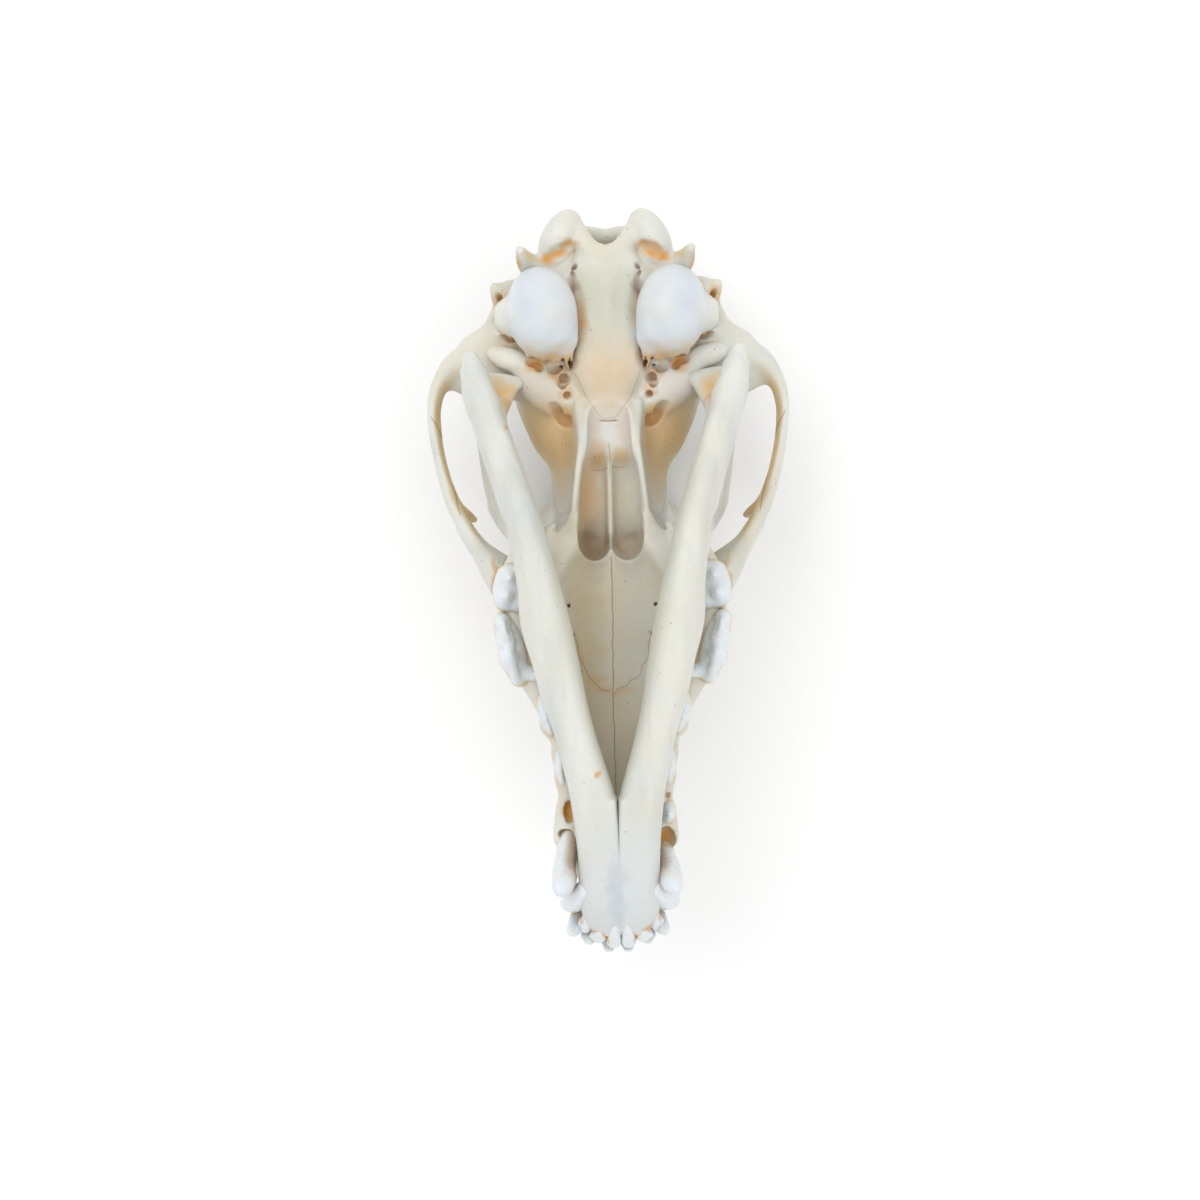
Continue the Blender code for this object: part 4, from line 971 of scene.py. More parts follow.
# Rods through front teeth: x, y, z, half thickness, half height
UPPER_CANINE = ((
    (12.2, -61, 50, 2.6, 4.4),
    (12.9, -65, 59, 2.8, 4.7),
    (13.6, -68.8, 66, 2.9, 3.9),
    (13.6, -71.2, 72, 3.1, 3.3),
    (14.3, -72.6, 75.8, 2.1, 2.2),
    (14.9, -73.1, 78, 0.8, 0.8),
),)
LOOSE_CANINE = ((
    (12.2, -64.6, 52, 2.4, 2.8),
    (12.9, -67.6, 59, 2.7, 3.2),
    (13.6, -69.8, 66, 2.85, 3.2),
    (13.6, -71.5, 72, 3.1, 3.1),
    (14.3, -72.6, 75.8, 2.1, 2.1),
    (14.9, -73.1, 78, 0.8, 0.8),
),)
LOWER_CANINE = ((
    (8.2, -73, 70.6, 2.5, 3.4),
    (10.9, -76.2, 66.4, 3.2, 3.5),
    (13, -78, 60, 2.6, 2.8),
    (13.9, -78, 53.6, 1.5, 1.6),
    (14.2, -77.6, 47.8, 0.4, 0.4),
),)
UPPER_INCISORS = (
    (
        ((2.2, -83.4, 54, 1.6, 1.8), (2.4, -87.4, 57.6, 2, 1.7), (2.5, -90.2, 60.8, 1.5, 0.8),
         (2.5, -90.9, 61.7, 1.1, 0.4)),
        ((3.4, -86.8, 58, 1.1, 1.1), (3.8, -89, 60.2, 0.7, 0.5)),
        ((1.4, -86.8, 58, 1, 1.1), (1.1, -89.4, 60.4, 0.6, 0.5)),
    ),
    (
        ((6.3, -82.6, 54, 1.8, 2), (7, -86, 58.6, 2.1, 1.9), (7.7, -88.1, 62, 1.5, 0.9),
         (7.8, -88.7, 62.8, 1, 0.4)),
        ((8.4, -85.4, 59, 1.1, 1.2), (9.2, -87.2, 61.2, 0.6, 0.5)),
    ),
    (
        ((10, -81.8, 53, 2.1, 2), (11, -84.4, 60, 2.2, 1.9), (11.8, -85.2, 66, 1.3, 1.2),
         (12, -85.4, 68, 0.4, 0.4)),
    ),
)
LOWER_INCISORS = (
    (
        ((1.7, -82.6, 68.6, 1.3, 1.4), (1.8, -86, 66.6, 1.65, 1.4), (1.9, -88.7, 64, 1.7, 0.8),
         (1.9, -89.6, 63.2, 1.3, 0.4)),
        ((2.7, -86.6, 66, 0.9, 0.9), (3.3, -88.4, 64.2, 0.6, 0.5)),
    ),
    (
        ((5, -82, 68, 1.4, 1.5), (5.4, -85.2, 66, 1.95, 1.5), (5.7, -87.4, 63.8, 1.8, 0.9),
         (5.7, -88.2, 63, 1.3, 0.4)),
        ((6.8, -85.4, 65.4, 1, 1), (7.7, -86.8, 63.8, 0.7, 0.5)),
    ),
    (
        ((8, -79.8, 67.6, 1.4, 1.8), (8.8, -82.8, 65.6, 1.8, 1.7), (9.4, -84.8, 63.2, 1.6, 1),
         (9.5, -85.5, 62.4, 1.1, 0.4)),
        ((9.8, -82.4, 65, 1, 1.1), (10.7, -83.6, 63.2, 0.6, 0.5)),
    ),
)


# How far below the gum a cheek tooth's roots and its block of clay reach
ROOT_DEPTH = 6.0
BLOCK_DEPTH = 9.0


def sculpt_crown(tooth, gum):
    """A cheek tooth on the right side, with two roots."""
    _, x, y, half_width, half_length, tip, yaw, crown = tooth
    reach = tip - gum
    turn = math.radians(yaw)
    size = 0.5 * (min(half_width, half_length) + 1.2)
    span = max(half_width * 1.4, half_length) + 2.0
    deep = gum - BLOCK_DEPTH * np.sign(reach)
    low_z, high_z = min(deep, tip) - 1.0, max(deep, tip) + 1.0
    clay = Clay((x - span, y - span, low_z), (x + span, y + span, high_z), TOOTH_STEP)
    for rod in crown:
        path = []
        for across, ahead, height, radius in rod:
            u, v = across * half_width * 0.8, ahead * half_length * 0.9
            path.append((
                x + u * math.cos(turn) + v * math.sin(turn),
                y - u * math.sin(turn) + v * math.cos(turn),
                gum + reach * height,
                max(radius * size * 1.25, 0.22),
            ))
        clay.rod(path, 0.32 * size, parts=2)
    for share in (-0.55, 0.55):
        v = share * half_length
        cx, cy = x + v * math.sin(turn), y + v * math.cos(turn)
        root_end = (cx - 1.6, cy, gum - ROOT_DEPTH * np.sign(reach), size * 0.4)
        clay.rod(((cx, cy, gum, size * 0.8), root_end), 0.6)
    return clay


def sculpt_rod_tooth(paths):
    """A front tooth made of rods."""
    paths = [np.asarray(path, float) for path in paths]
    points = np.concatenate(paths)
    reach = points[:, 3:].max() + 1.5
    clay = Clay(points[:, :3].min(0) - reach, points[:, :3].max(0) + reach, TOOTH_STEP)
    for path in paths:
        clay.rod(path, 0.6, parts=8)
    return clay


# Colours
CREAM = linear("DEE0DB")
IVORY = linear("DAD4BF")
OCHRE = linear("CE9A50")
ORANGE = linear("DD9E3A")
HONEY = linear("C78E3C")
BROWN = linear("8A5A35")
TAN = linear("C9A677")
BEIGE = linear("CDC3AC")
PEACH = linear("D9C4A6")
STRAW = linear("DDBD85")
ROSE = linear("DCCBC4")
GREY = linear("C6CBC6")
BLUE_GREY = linear("BCC3CE")
BLUE_WHITE = linear("D8DEE4")
ENAMEL = linear("E0E6EC")
# Brownish taupe of the painted shade on the upper canine's inner side
CANINE_SHADE_TAUPE = linear("C2AE97")

# Stains, and a few spots of painted shade and painted light: centre, reach along x, y, z, colour,
# strength, side (0 both, 1 right, -1 left)
SKULL_STAINS_SHADE_AND_LIGHT = (
    ((0, -24, 54), (20, 46, 7), BEIGE, 0.8, 0),
    ((8, -12, 53), (5, 34, 5), linear("BFAE8C"), 0.65, -1),
    ((8, -6, 53), (6, 22, 5), GREY, 0.5, 1),
    ((0, 60, 53), (9.5, 11, 6), PEACH, 0.85, 0),
    ((4.4, 80, 52), (2.6, 7, 5), linear("C9CBB6"), 0.6, 0),
    # Temple wall: a pale warm tan, partly the bone's own colour and partly painted shade
    ((17, 43, 38), (11, 12, 12), linear("F2D09A"), 0.85, 0),
    ((11, 42, 48), (2.4, 7, 8), OCHRE, 0.55, 0),
    ((15, 26, 40), (8, 8, 20), linear("DCDDE0"), 0.6, 0),
    ((19, 56, 46), (8, 4, 6), ROSE, 0.5, 0),
    ((15.4, 90.8, 50), (2.4, 1.6, 5), ORANGE, 0.95, 0),
    ((12.4, 92.4, 50), (2.6, 1.5, 5), ORANGE, 1, 0),
    ((9.8, 94.4, 50), (2.2, 1.2, 5), OCHRE, 0.8, 0),
    ((13.6, 87.6, 49), (2.6, 2.2, 5), ROSE, 0.6, 0),
    ((8.5, 82, 50), (1.4, 4, 4), BROWN, 0.8, 0),
    ((7.2, 75, 51), (2, 6, 3), OCHRE, 0.9, -1),
    ((7.6, 76.5, 51), (1.5, 4, 3), OCHRE, 0.5, 1),
    ((19.4, 63.4, 48), (3, 2.2, 6), ORANGE, 0.95, 0),
    ((25.2, 70.4, 46), (2.8, 2, 5), HONEY, 0.9, 0),
    ((28.6, 80.8, 46), (2.4, 2, 4), OCHRE, 0.85, 0),
    ((23.8, 88, 50), (1.4, 4.6, 6), OCHRE, 0.85, 0),
    ((20, 91.6, 52), (1.8, 1.6, 5), STRAW, 0.7, 0),
    ((10.2, 63.6, 50), (2, 2.8, 5), BROWN, 0.75, 0),
    ((12.8, 60, 49), (2.2, 2, 4), HONEY, 0.8, 0),
    ((11, 55.6, 49), (1.6, 2.4, 4), OCHRE, 0.6, 0),
    ((11.8, 49, 46), (3, 2.6, 5), OCHRE, 0.8, 0),
    ((6.4, 27, 47), (3.2, 15, 9), linear("DEBC90"), 0.8, -1),
    ((6, 30, 47), (3.4, 16, 9), linear("DCDDD8"), 0.8, 1),
    # Painted shade: dark grey-brown at the front end of the throat hollow, where it opens deep into
    # the nose
    ((4.6, 12.6, 44), (4.6, 8, 12), linear("A2978C"), 0.6, 0),
    ((2.8, 38.6, 48), (2.6, 3.6, 5), OCHRE, 0.65, -1),
    ((3, 37.6, 48), (2.2, 2.6, 5), STRAW, 0.7, 1),
    # Temple wall: deeper tan in its middle, partly painted shade, then a pale spot of painted light
    # that lifts the shaded temple
    ((14, 45, 40), (6, 7, 12), linear("DDAE6C"), 0.3, 0),
    ((16, 40, 36), (10, 13, 16), linear("FFE2B2"), 0.5, 0),
    ((0, 79, 53), (7, 13, 5), linear("C9CABC"), 0.75, 0),
    # Painted shade, darker on the left, at the same opening
    ((4.6, 13, 44), (4.6, 6, 10), linear("8A7460"), 0.5, -1),
    ((5.4, -21.4, 53), (3, 1.3, 3), OCHRE, 0.4, -1),
    ((2.4, -24, 53), (3, 1, 3), OCHRE, 0.35, 0),
    ((25.8, 64.5, 48), (6, 2.8, 3), linear("E8E9E5"), 0.9, 0),
    ((5, 45.5, 50), (3, 5, 4), ROSE, 0.6, 0),
    ((12.8, -62.6, 57), (2.5, 3.5, 3.6), HONEY, 1, 1),
    ((13, -60.2, 58), (2.2, 0.8, 2.4), OCHRE, 0.8, -1),
    ((12.3, -55.2, 56.4), (1.7, 3.1, 3), HONEY, 1, -1),
    ((13.8, -51.4, 58), (0.9, 1.2, 2), OCHRE, 0.9, 1),
    ((30.8, 7, 54), (1, 6, 6), OCHRE, 0.9, 0),
    ((21, -9, 58), (2.4, 8, 5), OCHRE, 0.7, 0),
    ((9, -15.5, 53), (1, 5, 3), OCHRE, 0.6, -1),
    ((38, 23, 35), (2.6, 2.6, 4), TAN, 0.5, 0),
    ((37.4, 19.4, 38), (1.2, 1.4, 5), BROWN, 0.6, 0),
    ((5, -85.6, 61), (8, 3, 4), OCHRE, 0.6, 0),
    ((9.6, -82, 60), (3, 3, 3), OCHRE, 0.6, 0),
)
JAW_STAINS = (
    ((0, -74, 72), (13, 20, 9), linear("D2D9E0"), 0.7, 0),
    ((28.4, 55.5, 53), (4, 3.6, 8), STRAW, 1, 0),
    ((30.6, 57.6, 53), (3, 2.6, 8), PEACH, 0.7, 0),
    ((26.6, 51.6, 55), (1.6, 1.8, 5), OCHRE, 0.7, 0),
    ((0.4, -74, 73), (2, 12, 6), linear("C6CCD6"), 1, -1),
    ((4.1, -43.3, 79), (0.5, 0.9, 2), OCHRE, 0.8, -1),
    ((26.2, 44.6, 66), (0.8, 1, 5), OCHRE, 0.7, -1),
    ((12, 4, 82), (3.5, 12, 6), linear("D3D6C6"), 0.5, 0),
    ((8.4, -84.6, 67), (1.4, 1.6, 3), OCHRE, 0.8, 0),
    ((6.6, -85.8, 66), (0.7, 1.6, 3), OCHRE, 0.8, 0),
    ((3.5, -86.4, 66), (0.6, 1.4, 3), OCHRE, 0.8, 0),
    ((0, -86.6, 66), (0.6, 1.4, 3), OCHRE, 0.7, 0),
)


# Stains in the gaps between the lower front teeth, which are painted on the teeth
FRONT_STAINS = (
    ((10.6, -81, 66), (0.8, 1.6, 3), OCHRE, 0.8, 0),
    ((7.5, -84.8, 66), (0.7, 1.5, 3), OCHRE, 0.9, 0),
    ((3.7, -86.8, 66), (0.6, 1.4, 3), OCHRE, 0.9, 0),
)


def softened(field, radius):
    """Share of bone in a box of the given radius in cells around each point."""
    result = (field < 0.0).astype(np.float32)
    for axis in range(3):
        pad = [(0, 0)] * 3
        pad[axis] = (radius + 1, radius)
        total = np.cumsum(np.pad(result, pad, mode="edge"), axis=axis, dtype=np.float64)
        top = [slice(None)] * 3
        low = [slice(None)] * 3
        top[axis] = slice(2 * radius + 1, None)
        low[axis] = slice(0, -(2 * radius + 1))
        result = ((total[tuple(top)] - total[tuple(low)]) / (2 * radius + 1)).astype(np.float32)
    return result


def sample(clay, values, points):
    """Values of the grid at the points."""
    place = (points - clay.low) / clay.step
    cell = np.clip(np.floor(place).astype(int), 0, np.array(values.shape) - 2)
    part = place - cell
    total = np.zeros(len(points))
    for corner in CORNERS:
        weight = np.prod(np.where(np.array(corner) == 1, part, 1.0 - part), axis=1)
        total += weight * values[tuple((cell + corner).T)]
    return total


def slopes(clay, values, points):
    """How fast the values of the grid rise along x, y and z at the points."""
    reach = 0.5 * clay.step
    rises = [
        sample(clay, values, points + reach * axis) - sample(clay, values, points - reach * axis)
        for axis in np.eye(3)
    ]
    return np.stack(rises, axis=1) / (2.0 * reach)


def outward(clay, points):
    """The way out of the bone at the points."""
    way = slopes(clay, clay.field, points)
    return way / np.maximum(np.linalg.norm(way, axis=1), 1e-6)[:, None]


def mixed(colours, target, share):
    """Colours drawn towards the target by a share for each point."""
    return colours + (target - colours) * unit(share)[:, None]


SPOT_HILL = 2.6
SPOT_WOBBLE = 2.4


def lay_spots(colours, points, stains):
    """Colours with soft, ragged spots laid over them."""
    wobble = np.stack([noise(points, SPOT_HILL, seed) - 0.5 for seed in (11, 12, 13)], axis=1)
    moved = points + wobble * SPOT_WOBBLE
    for centre, reach, colour, strength, side in stains:
        for sign in (-1.0, 1.0):
            if side and side != sign:
                continue
            middle = np.array(centre, float)
            middle[0] = abs(middle[0]) * sign
            if centre[0] == 0 and sign < 0:
                continue
            away = np.sqrt((((moved - middle) / np.array(reach)) ** 2).sum(axis=1))
            colours = mixed(colours, colour, strength * unit(1.35 - away) ** 0.8)
    return colours


# Soft patches: colour, strength, size of a hill, how much is left out, seed, and how far they
# are drawn out along the head, where a smaller value is longer
SKULL_PATCHES = ((IVORY, 1.1, 16.0, 0.25, 21, 1.0), (GREY, 1.0, 7.0, 0.45, 28, 1.0))
CAPSULE_PATCHES = ((CREAM, 1.5, 5.0, 0.5, 23, 1.0), (BLUE_GREY, 1.2, 7.0, 0.5, 29, 1.0))
JAW_PATCHES = (
    (GREY, 1.0, 5.0, 0.3, 25, 0.3),
    (IVORY, 0.8, 9.0, 0.35, 26, 0.35),
    (BLUE_GREY, 0.7, 1.4, 0.42, 34, 0.12),
)
TOOTH_PATCHES = ((CREAM, 1.2, 2.4, 0.4, 27, 1.0), (BLUE_GREY, 0.6, 3.4, 0.4, 35, 1.0))


def patched(base, points, patches):
    """One colour with soft patches of others laid over it."""
    colours = np.repeat(base[None], len(points), axis=0)
    for colour, strength, hill, left_out, seed, stretch in patches:
        share = strength * noise(points * (1.0, stretch, 1.0), hill, seed) - left_out
        colours = mixed(colours, colour, share)
    return colours


def paint_skull(points, normals, tight, wide):
    """Cream bone, straw inside the arches, ochre stain and painted shade of tan to brown in its
    recesses, and painted light on its exposed ridges.
    """
    colours = patched(CREAM, points, SKULL_PATCHES)
    inward = -normals[:, 0] * np.sign(points[:, 0])
    arch = unit((np.abs(points[:, 0]) - 33) / 4) * unit(inward)
    colours = mixed(colours, STRAW, 0.9 * arch)
    colours = lay_spots(colours, points, SKULL_STAINS_SHADE_AND_LIGHT)
    # Painted shade, partly the bone's own tint: broad recesses drawn towards tan
    colours = mixed(colours, TAN, 1.3 * (wide - 0.58))
    # Ochre stain in the narrow recesses
    colours = mixed(colours, OCHRE, 2.2 * (tight - 0.62) * (0.4 + noise(points, 4.0, 22)))
    # Painted shade, partly stain: the deepest narrow recesses darken to brown
    colours = mixed(colours, BROWN, 3.0 * (tight - 0.76))
    # Painted light: ridges and knobs with little bone around them are lifted above cream
    return mixed(colours, CREAM * 1.04, 1.6 * (0.40 - tight))


def paint_bulla(points):
    """Bluish bone, creamy at the ear tube and warmer at the front spikes."""
    colours = patched(BLUE_WHITE, points, CAPSULE_PATCHES)
    tube = unit((points[:, 0] - 24.0) / 3.0)
    colours = mixed(colours, CREAM, tube)
    front = unit((68.0 - points[:, 1]) / 3.0)
    colours = mixed(colours, PEACH, 1.4 * front * noise(points, 3.0, 24))
    tips = unit((65.5 - points[:, 1]) / 3.0)
    return mixed(colours, OCHRE, 1.2 * tips * noise(points, 1.6, 30))


def paint_jaw(points, tight, wide):
    """Cream bone with grey streaks along it, ochre stain in its recesses and painted shade of tan to
    brown there.
    """
    colours = lay_spots(patched(CREAM, points, JAW_PATCHES), points, JAW_STAINS)
    # Painted shade, partly the bone's own tint: broad recesses drawn towards tan
    colours = mixed(colours, TAN, 1.2 * (wide - 0.58))
    # Ochre stain in the narrow recesses
    colours = mixed(colours, OCHRE, 2.0 * (tight - 0.64))
    # Painted shade, partly stain: the deepest narrow recesses darken to brown
    return mixed(colours, BROWN, 3.0 * (tight - 0.76))


def paint_tooth(points, gum, upward):
    """Enamel, yellower towards the gum and stained in an uneven rim there."""
    height = (points[:, 2] - gum) * upward
    colours = patched(ENAMEL, points, TOOTH_PATCHES)
    colours = mixed(colours, IVORY, 0.9 - height / 1.6)
    ring = unit(1.0 - np.abs(height) / 0.7)
    return mixed(colours, OCHRE, ring * (0.35 + 1.4 * (noise(points, 2.4, 27) - 0.5)))


# Heights along the upper canine, and x of its middle at each, which bound the painted shade on its
# inner side
CANINE_HEIGHTS = (50, 59, 66, 72, 78)
CANINE_MIDDLES = (12.2, 12.9, 13.6, 13.7, 14.8)


def paint_canine_shade(colours, points):
    """Painted shade: the side of the canine that faces the jaw is brownish from the gum to near the
    tip.
    """
    middle = np.interp(points[:, 2], CANINE_HEIGHTS, CANINE_MIDDLES)
    inner = unit((middle - np.abs(points[:, 0])) / 1.6 + 0.15)
    root = unit((75.5 - points[:, 2]) / 4.0)
    return mixed(colours, CANINE_SHADE_TAUPE, 0.85 * inner * root)


def make_mesh(name, points, faces, colours, seam=None):
    """A mesh object from millimetre points, with its paint and its seam lines."""
    mesh = bpy.data.meshes.new(name)
    mesh.vertices.add(len(points))
    world = (points - (0.0, LENGTH_MIDDLE, 0.0)) * MM
    mesh.vertices.foreach_set("co", world.astype(np.float32).ravel())
    mesh.loops.add(4 * len(faces))
    mesh.loops.foreach_set("vertex_index", faces.astype(np.int32).ravel())
    mesh.polygons.add(len(faces))
    mesh.polygons.foreach_set("loop_start", np.arange(0, 4 * len(faces), 4, dtype=np.int32))
    mesh.polygons.foreach_set("use_smooth", np.ones(len(faces), bool))
    mesh.update(calc_edges=True)
    paint = mesh.color_attributes.new("paint", "FLOAT_COLOR", "POINT")
    full = np.column_stack([colours, np.ones(len(points))])
    paint.data.foreach_set("color", full.astype(np.float32).ravel())
    off, share = seam or (np.full(len(points), NO_SEAM), np.zeros(len(points)))
    for label, values in (("seam", off), ("seam_share", share)):
        line = mesh.attributes.new(label, "FLOAT", "POINT")
        line.data.foreach_set("value", values.astype(np.float32))
    mesh.validate()
    item = bpy.data.objects.new(name, mesh)
    bpy.context.scene.collection.objects.link(item)


def uneven(points, normals, amount):
    """Low swells over the surface, which a cast or turned body would not have."""
    swell = noise(points, 9.0, 31) + 0.5 * noise(points, 4.0, 32) + 0.25 * noise(points, 1.7, 33)
    return points + normals * (amount * (swell - 0.875))[:, None]


def keep_large(points, faces, least=60):
    """Leaves out loose crumbs of fewer points than the least."""
    label = np.arange(len(points))
    while True:
        low = label[faces].min(axis=1)
        new = label.copy()
        for k in range(4):
            np.minimum.at(new, faces[:, k], low)
        new = new[new]
        if np.array_equal(new, label):
            break
        label = new
    sizes = np.bincount(label, minlength=len(points))
    good = sizes[label] >= least
    index = np.cumsum(good) - 1
    return points[good], index[faces[good[faces[:, 0]]]]


def finish_piece(name, node, material):
    """Gives a piece its material and slot, hangs it on the root, and hides the CAD part of the node it
    stands for, if any.
    """
    piece = bpy.data.objects[name]
    piece.data.materials.append(material)
    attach(piece, "root")
    if node:
        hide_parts(node)


def skull_shares(clay):
    """Each bone with the distance to its share of space, first come first served."""
    axes = [clay.low[i] + clay.step * np.arange(clay.count[i]) for i in range(3)]

    def seen_along(axis, outline, seed):
        """Distance to an outline that runs through the whole block along one axis."""
        one, two = (axes[i] for i in range(3) if i != axis)
        flat = outline_distance(jagged(outline, seed=seed), one[:, None], two[None, :])
        return np.expand_dims(flat, axis).astype(np.float32)

    for side_name, side in SIDES:
        outline = tuple((side * a, b) for a, b in ARCH_TOP_OUTLINE)
        yield f"zygomatic_arch_{side_name}", seen_along(2, outline, 3)
    nasals = seen_along(2, NASAL_TOP_OUTLINE, 4), seen_along(0, NASAL_SIDE_OUTLINE, 5)
    yield "nasal_bones", np.maximum(*nasals)
    for node, outline, seed in SIDE_SHARES:
        yield node, seen_along(0, outline, seed)


def tight_box(field):
    """The slices that hold all that lies inside the surface, with a margin."""
    inside = field < 0.0
    slices = []
    for axis in range(3):
        hits = np.flatnonzero(inside.any(axis=tuple(a for a in range(3) if a != axis)))
        slices.append(slice(max(0, hits[0] - 2), min(field.shape[axis], hits[-1] + 3)))
    return tuple(slices)


def drawn_seams():
    """Each drawn seam, once for every side it is on."""
    for line, strength, low, high, swing, signs in DRAWN_SEAMS:
        for sign in signs:
            yield [(sign * x, y) for x, y in line], strength, low, high, swing


def band(off):
    """How much of a seam line shows at a distance from it."""
    return unit(2.0 - np.abs(off) / SEAM_BAND)


def seam_lines(points, clay, nearest):
    """Signed distance to the nearest seam, and how strongly it shows there."""
    off = sample(clay, nearest, points)
    x, y, z = points.T
    # no line shows in front of the condyles, across the throat or at the hind root of each arch
    condyles = (z > 40.0) & (np.abs(y - 84.5) < 4.0)
    throat = (z > 20.0) & (np.abs(y - 17.5) < 5.0) & (np.abs(x) < 17.0)
    root = (np.abs(x) > 37.0) & (y > 52.0)
    share = np.where(condyles | throat | root, 0.0, CUT_STRENGTH) * band(off)
    for line, strength, low, high, swing in drawn_seams():
        path = np.array(jagged(line, step=1.6, swing=swing, seed=17, closed=False) + [line[-1]])
        near = np.flatnonzero((z > low) & (z < high) & (x > path[:, 0].min() - 2)
                              & (x < path[:, 0].max() + 2) & (y > path[:, 1].min() - 2)
                              & (y < path[:, 1].max() + 2))
        best = np.full(len(near), NO_SEAM)
        for p, q in zip(path, path[1:]):
            way = q - p
            dx, dy = x[near] - p[0], y[near] - p[1]
            t = unit((dx * way[0] + dy * way[1]) / max(way @ way, 1e-6))
            away = np.hypot(dx - t * way[0], dy - t * way[1])
            side = np.where(dx * way[1] - dy * way[0] > 0, 1.0, -1.0)
            closer = away < np.abs(best)
            best[closer] = (away * side)[closer]
        here = strength * band(best)
        use = here > share[near]
        off[near[use]], share[near[use]] = best[use], here[use]
    return off, share


def mesh_bone(name, clay, cut, nearest, tight, wide):
    """The part of the skull inside the cut; past its edge it dips under the next bone."""
    past = np.maximum(cut, 0.0)
    field = np.maximum(clay.field + LAP_DIP * past, cut - LAP_REACH)
    box = tight_box(field)
    low = clay.low + clay.step * np.array([s.start for s in box])
    padded = np.pad(field[box], 1, constant_values=5.0)
    points, faces = surface_net(padded, low - clay.step, clay.step)
    points, faces = keep_large(points, faces)
    normals = outward(clay, points)
    colours = paint_skull(points, normals, sample(clay, tight, points), sample(clay, wide, points))
    seam = seam_lines(points, clay, nearest)
    make_mesh(name, uneven(points, normals, BONE_SWELL), faces, colours, seam)


def build_skull(materials):
    """Every bone of the skull but the ear capsules, cut from one sculpted body."""
    half = sculpt_skull()
    clay = half.both()
    carve_sockets(clay)
    tight, wide = (softened(clay.field, round(reach / clay.step)) for reach in RECESS_REACHES)
    cuts = []
    outside = np.full(clay.field.shape, -FAR, np.float32)
    nearest = np.full(clay.field.shape, NO_SEAM, np.float32)
    for node, share in skull_shares(clay):
        cut = np.maximum(share, outside)
        cuts.append((node, cut))
        nearest = np.where(np.abs(cut) < np.abs(nearest), cut, nearest)
        outside = np.maximum(outside, -share)
    cuts.append(("cranium", outside))
    for node, cut in cuts:
        mesh_bone(f"bone_{node}", clay, cut, nearest, tight, wide)
        finish_piece(f"bone_{node}", node, materials["bone"])


# Open sockets, and the small one behind the loose canine
SOCKETS = (
    (((-12.3, -55.2, 61.5, 1.6, 3.3), (-12.2, -55, 57.6, 1.4, 2.9)), 0.3, DIG),
    (((13.1, -63.4, 62.5, 2.6, 4.2), (12.9, -63, 58.4, 2.5, 3.9)), 0.3, DIG),
    (((13.9, -51.4, 61.5, 0.8, 1.1), (13.6, -51.2, 57.6, 0.6, 0.8)), 0.4, DIG),
    (((-13.4, -61, 61.5, 2.3, 1.6), (-13, -60.6, 57.5, 2, 1.2)), 0.4, DIG),
)


def carve_sockets(clay):
    """Sockets: the left first premolar's is empty and the loose right canine's is wide."""
    shape_all(clay, SOCKETS)


def build_capsules(materials):
    """Both ear capsules, from one that is sculpted on the right."""
    clay = sculpt_bulla()
    points, faces = surface_net(clay.field, clay.low, clay.step)
    colours = paint_bulla(points)
    points = uneven(points, outward(clay, points), CAPSULE_SWELL)
    for side_name, side in SIDES:
        name = f"ear_capsule_{side_name}"
        make_mesh(name, points * (side, 1.0, 1.0), turned(faces, side), colours)
        finish_piece(name, f"auditory_bulla_{side_name}", materials["pale"])


def turned(faces, side):
    """Faces built on the right, turned over when they are put on the left."""
    return faces if side > 0 else faces[:, ::-1]


def jaw_place(points, side):
    """Points of the right half jaw put on one side, with the jaw's slight turn and shift."""
    moved = points * (side, 1.0, 1.0) - (0.0, JAW_PIVOT_Y, 0.0)
    turn = math.radians(JAW_YAW)
    x = moved[:, 0] * math.cos(turn) - moved[:, 1] * math.sin(turn) + JAW_SHIFT
    y = moved[:, 0] * math.sin(turn) + moved[:, 1] * math.cos(turn) + JAW_PIVOT_Y
    return np.column_stack([x, y, moved[:, 2]])


def build_jaws(materials):
    """Both halves of the lower jaw, from one that is sculpted on the right."""
    clay = sculpt_jaw()
    tight, wide = (softened(clay.field, round(reach / clay.step)) for reach in RECESS_REACHES)
    points, faces = surface_net(clay.field, clay.low, clay.step)
    points, faces = keep_large(points, faces)
    normals = outward(clay, points)
    levels = sample(clay, tight, points), sample(clay, wide, points)
    points = uneven(points, normals, BONE_SWELL)
    for side_name, side in SIDES:
        placed = jaw_place(points, side)
        name = f"jaw_{side_name}"
        make_mesh(name, placed, turned(faces, side), paint_jaw(placed, *levels))
        finish_piece(name, f"mandible_{side_name}", materials["jaw"])


# Where the stained rim of the enamel lies
PAINTED_GUMS = {
    ("upper", "cheek"): 59.0,
    ("upper", "incisor"): 57.4,
    ("upper", "canine"): 58.6,
    ("lower", "cheek"): 63.0,
    ("lower", "incisor"): 70.8,
    ("lower", "canine"): 74.6,
}


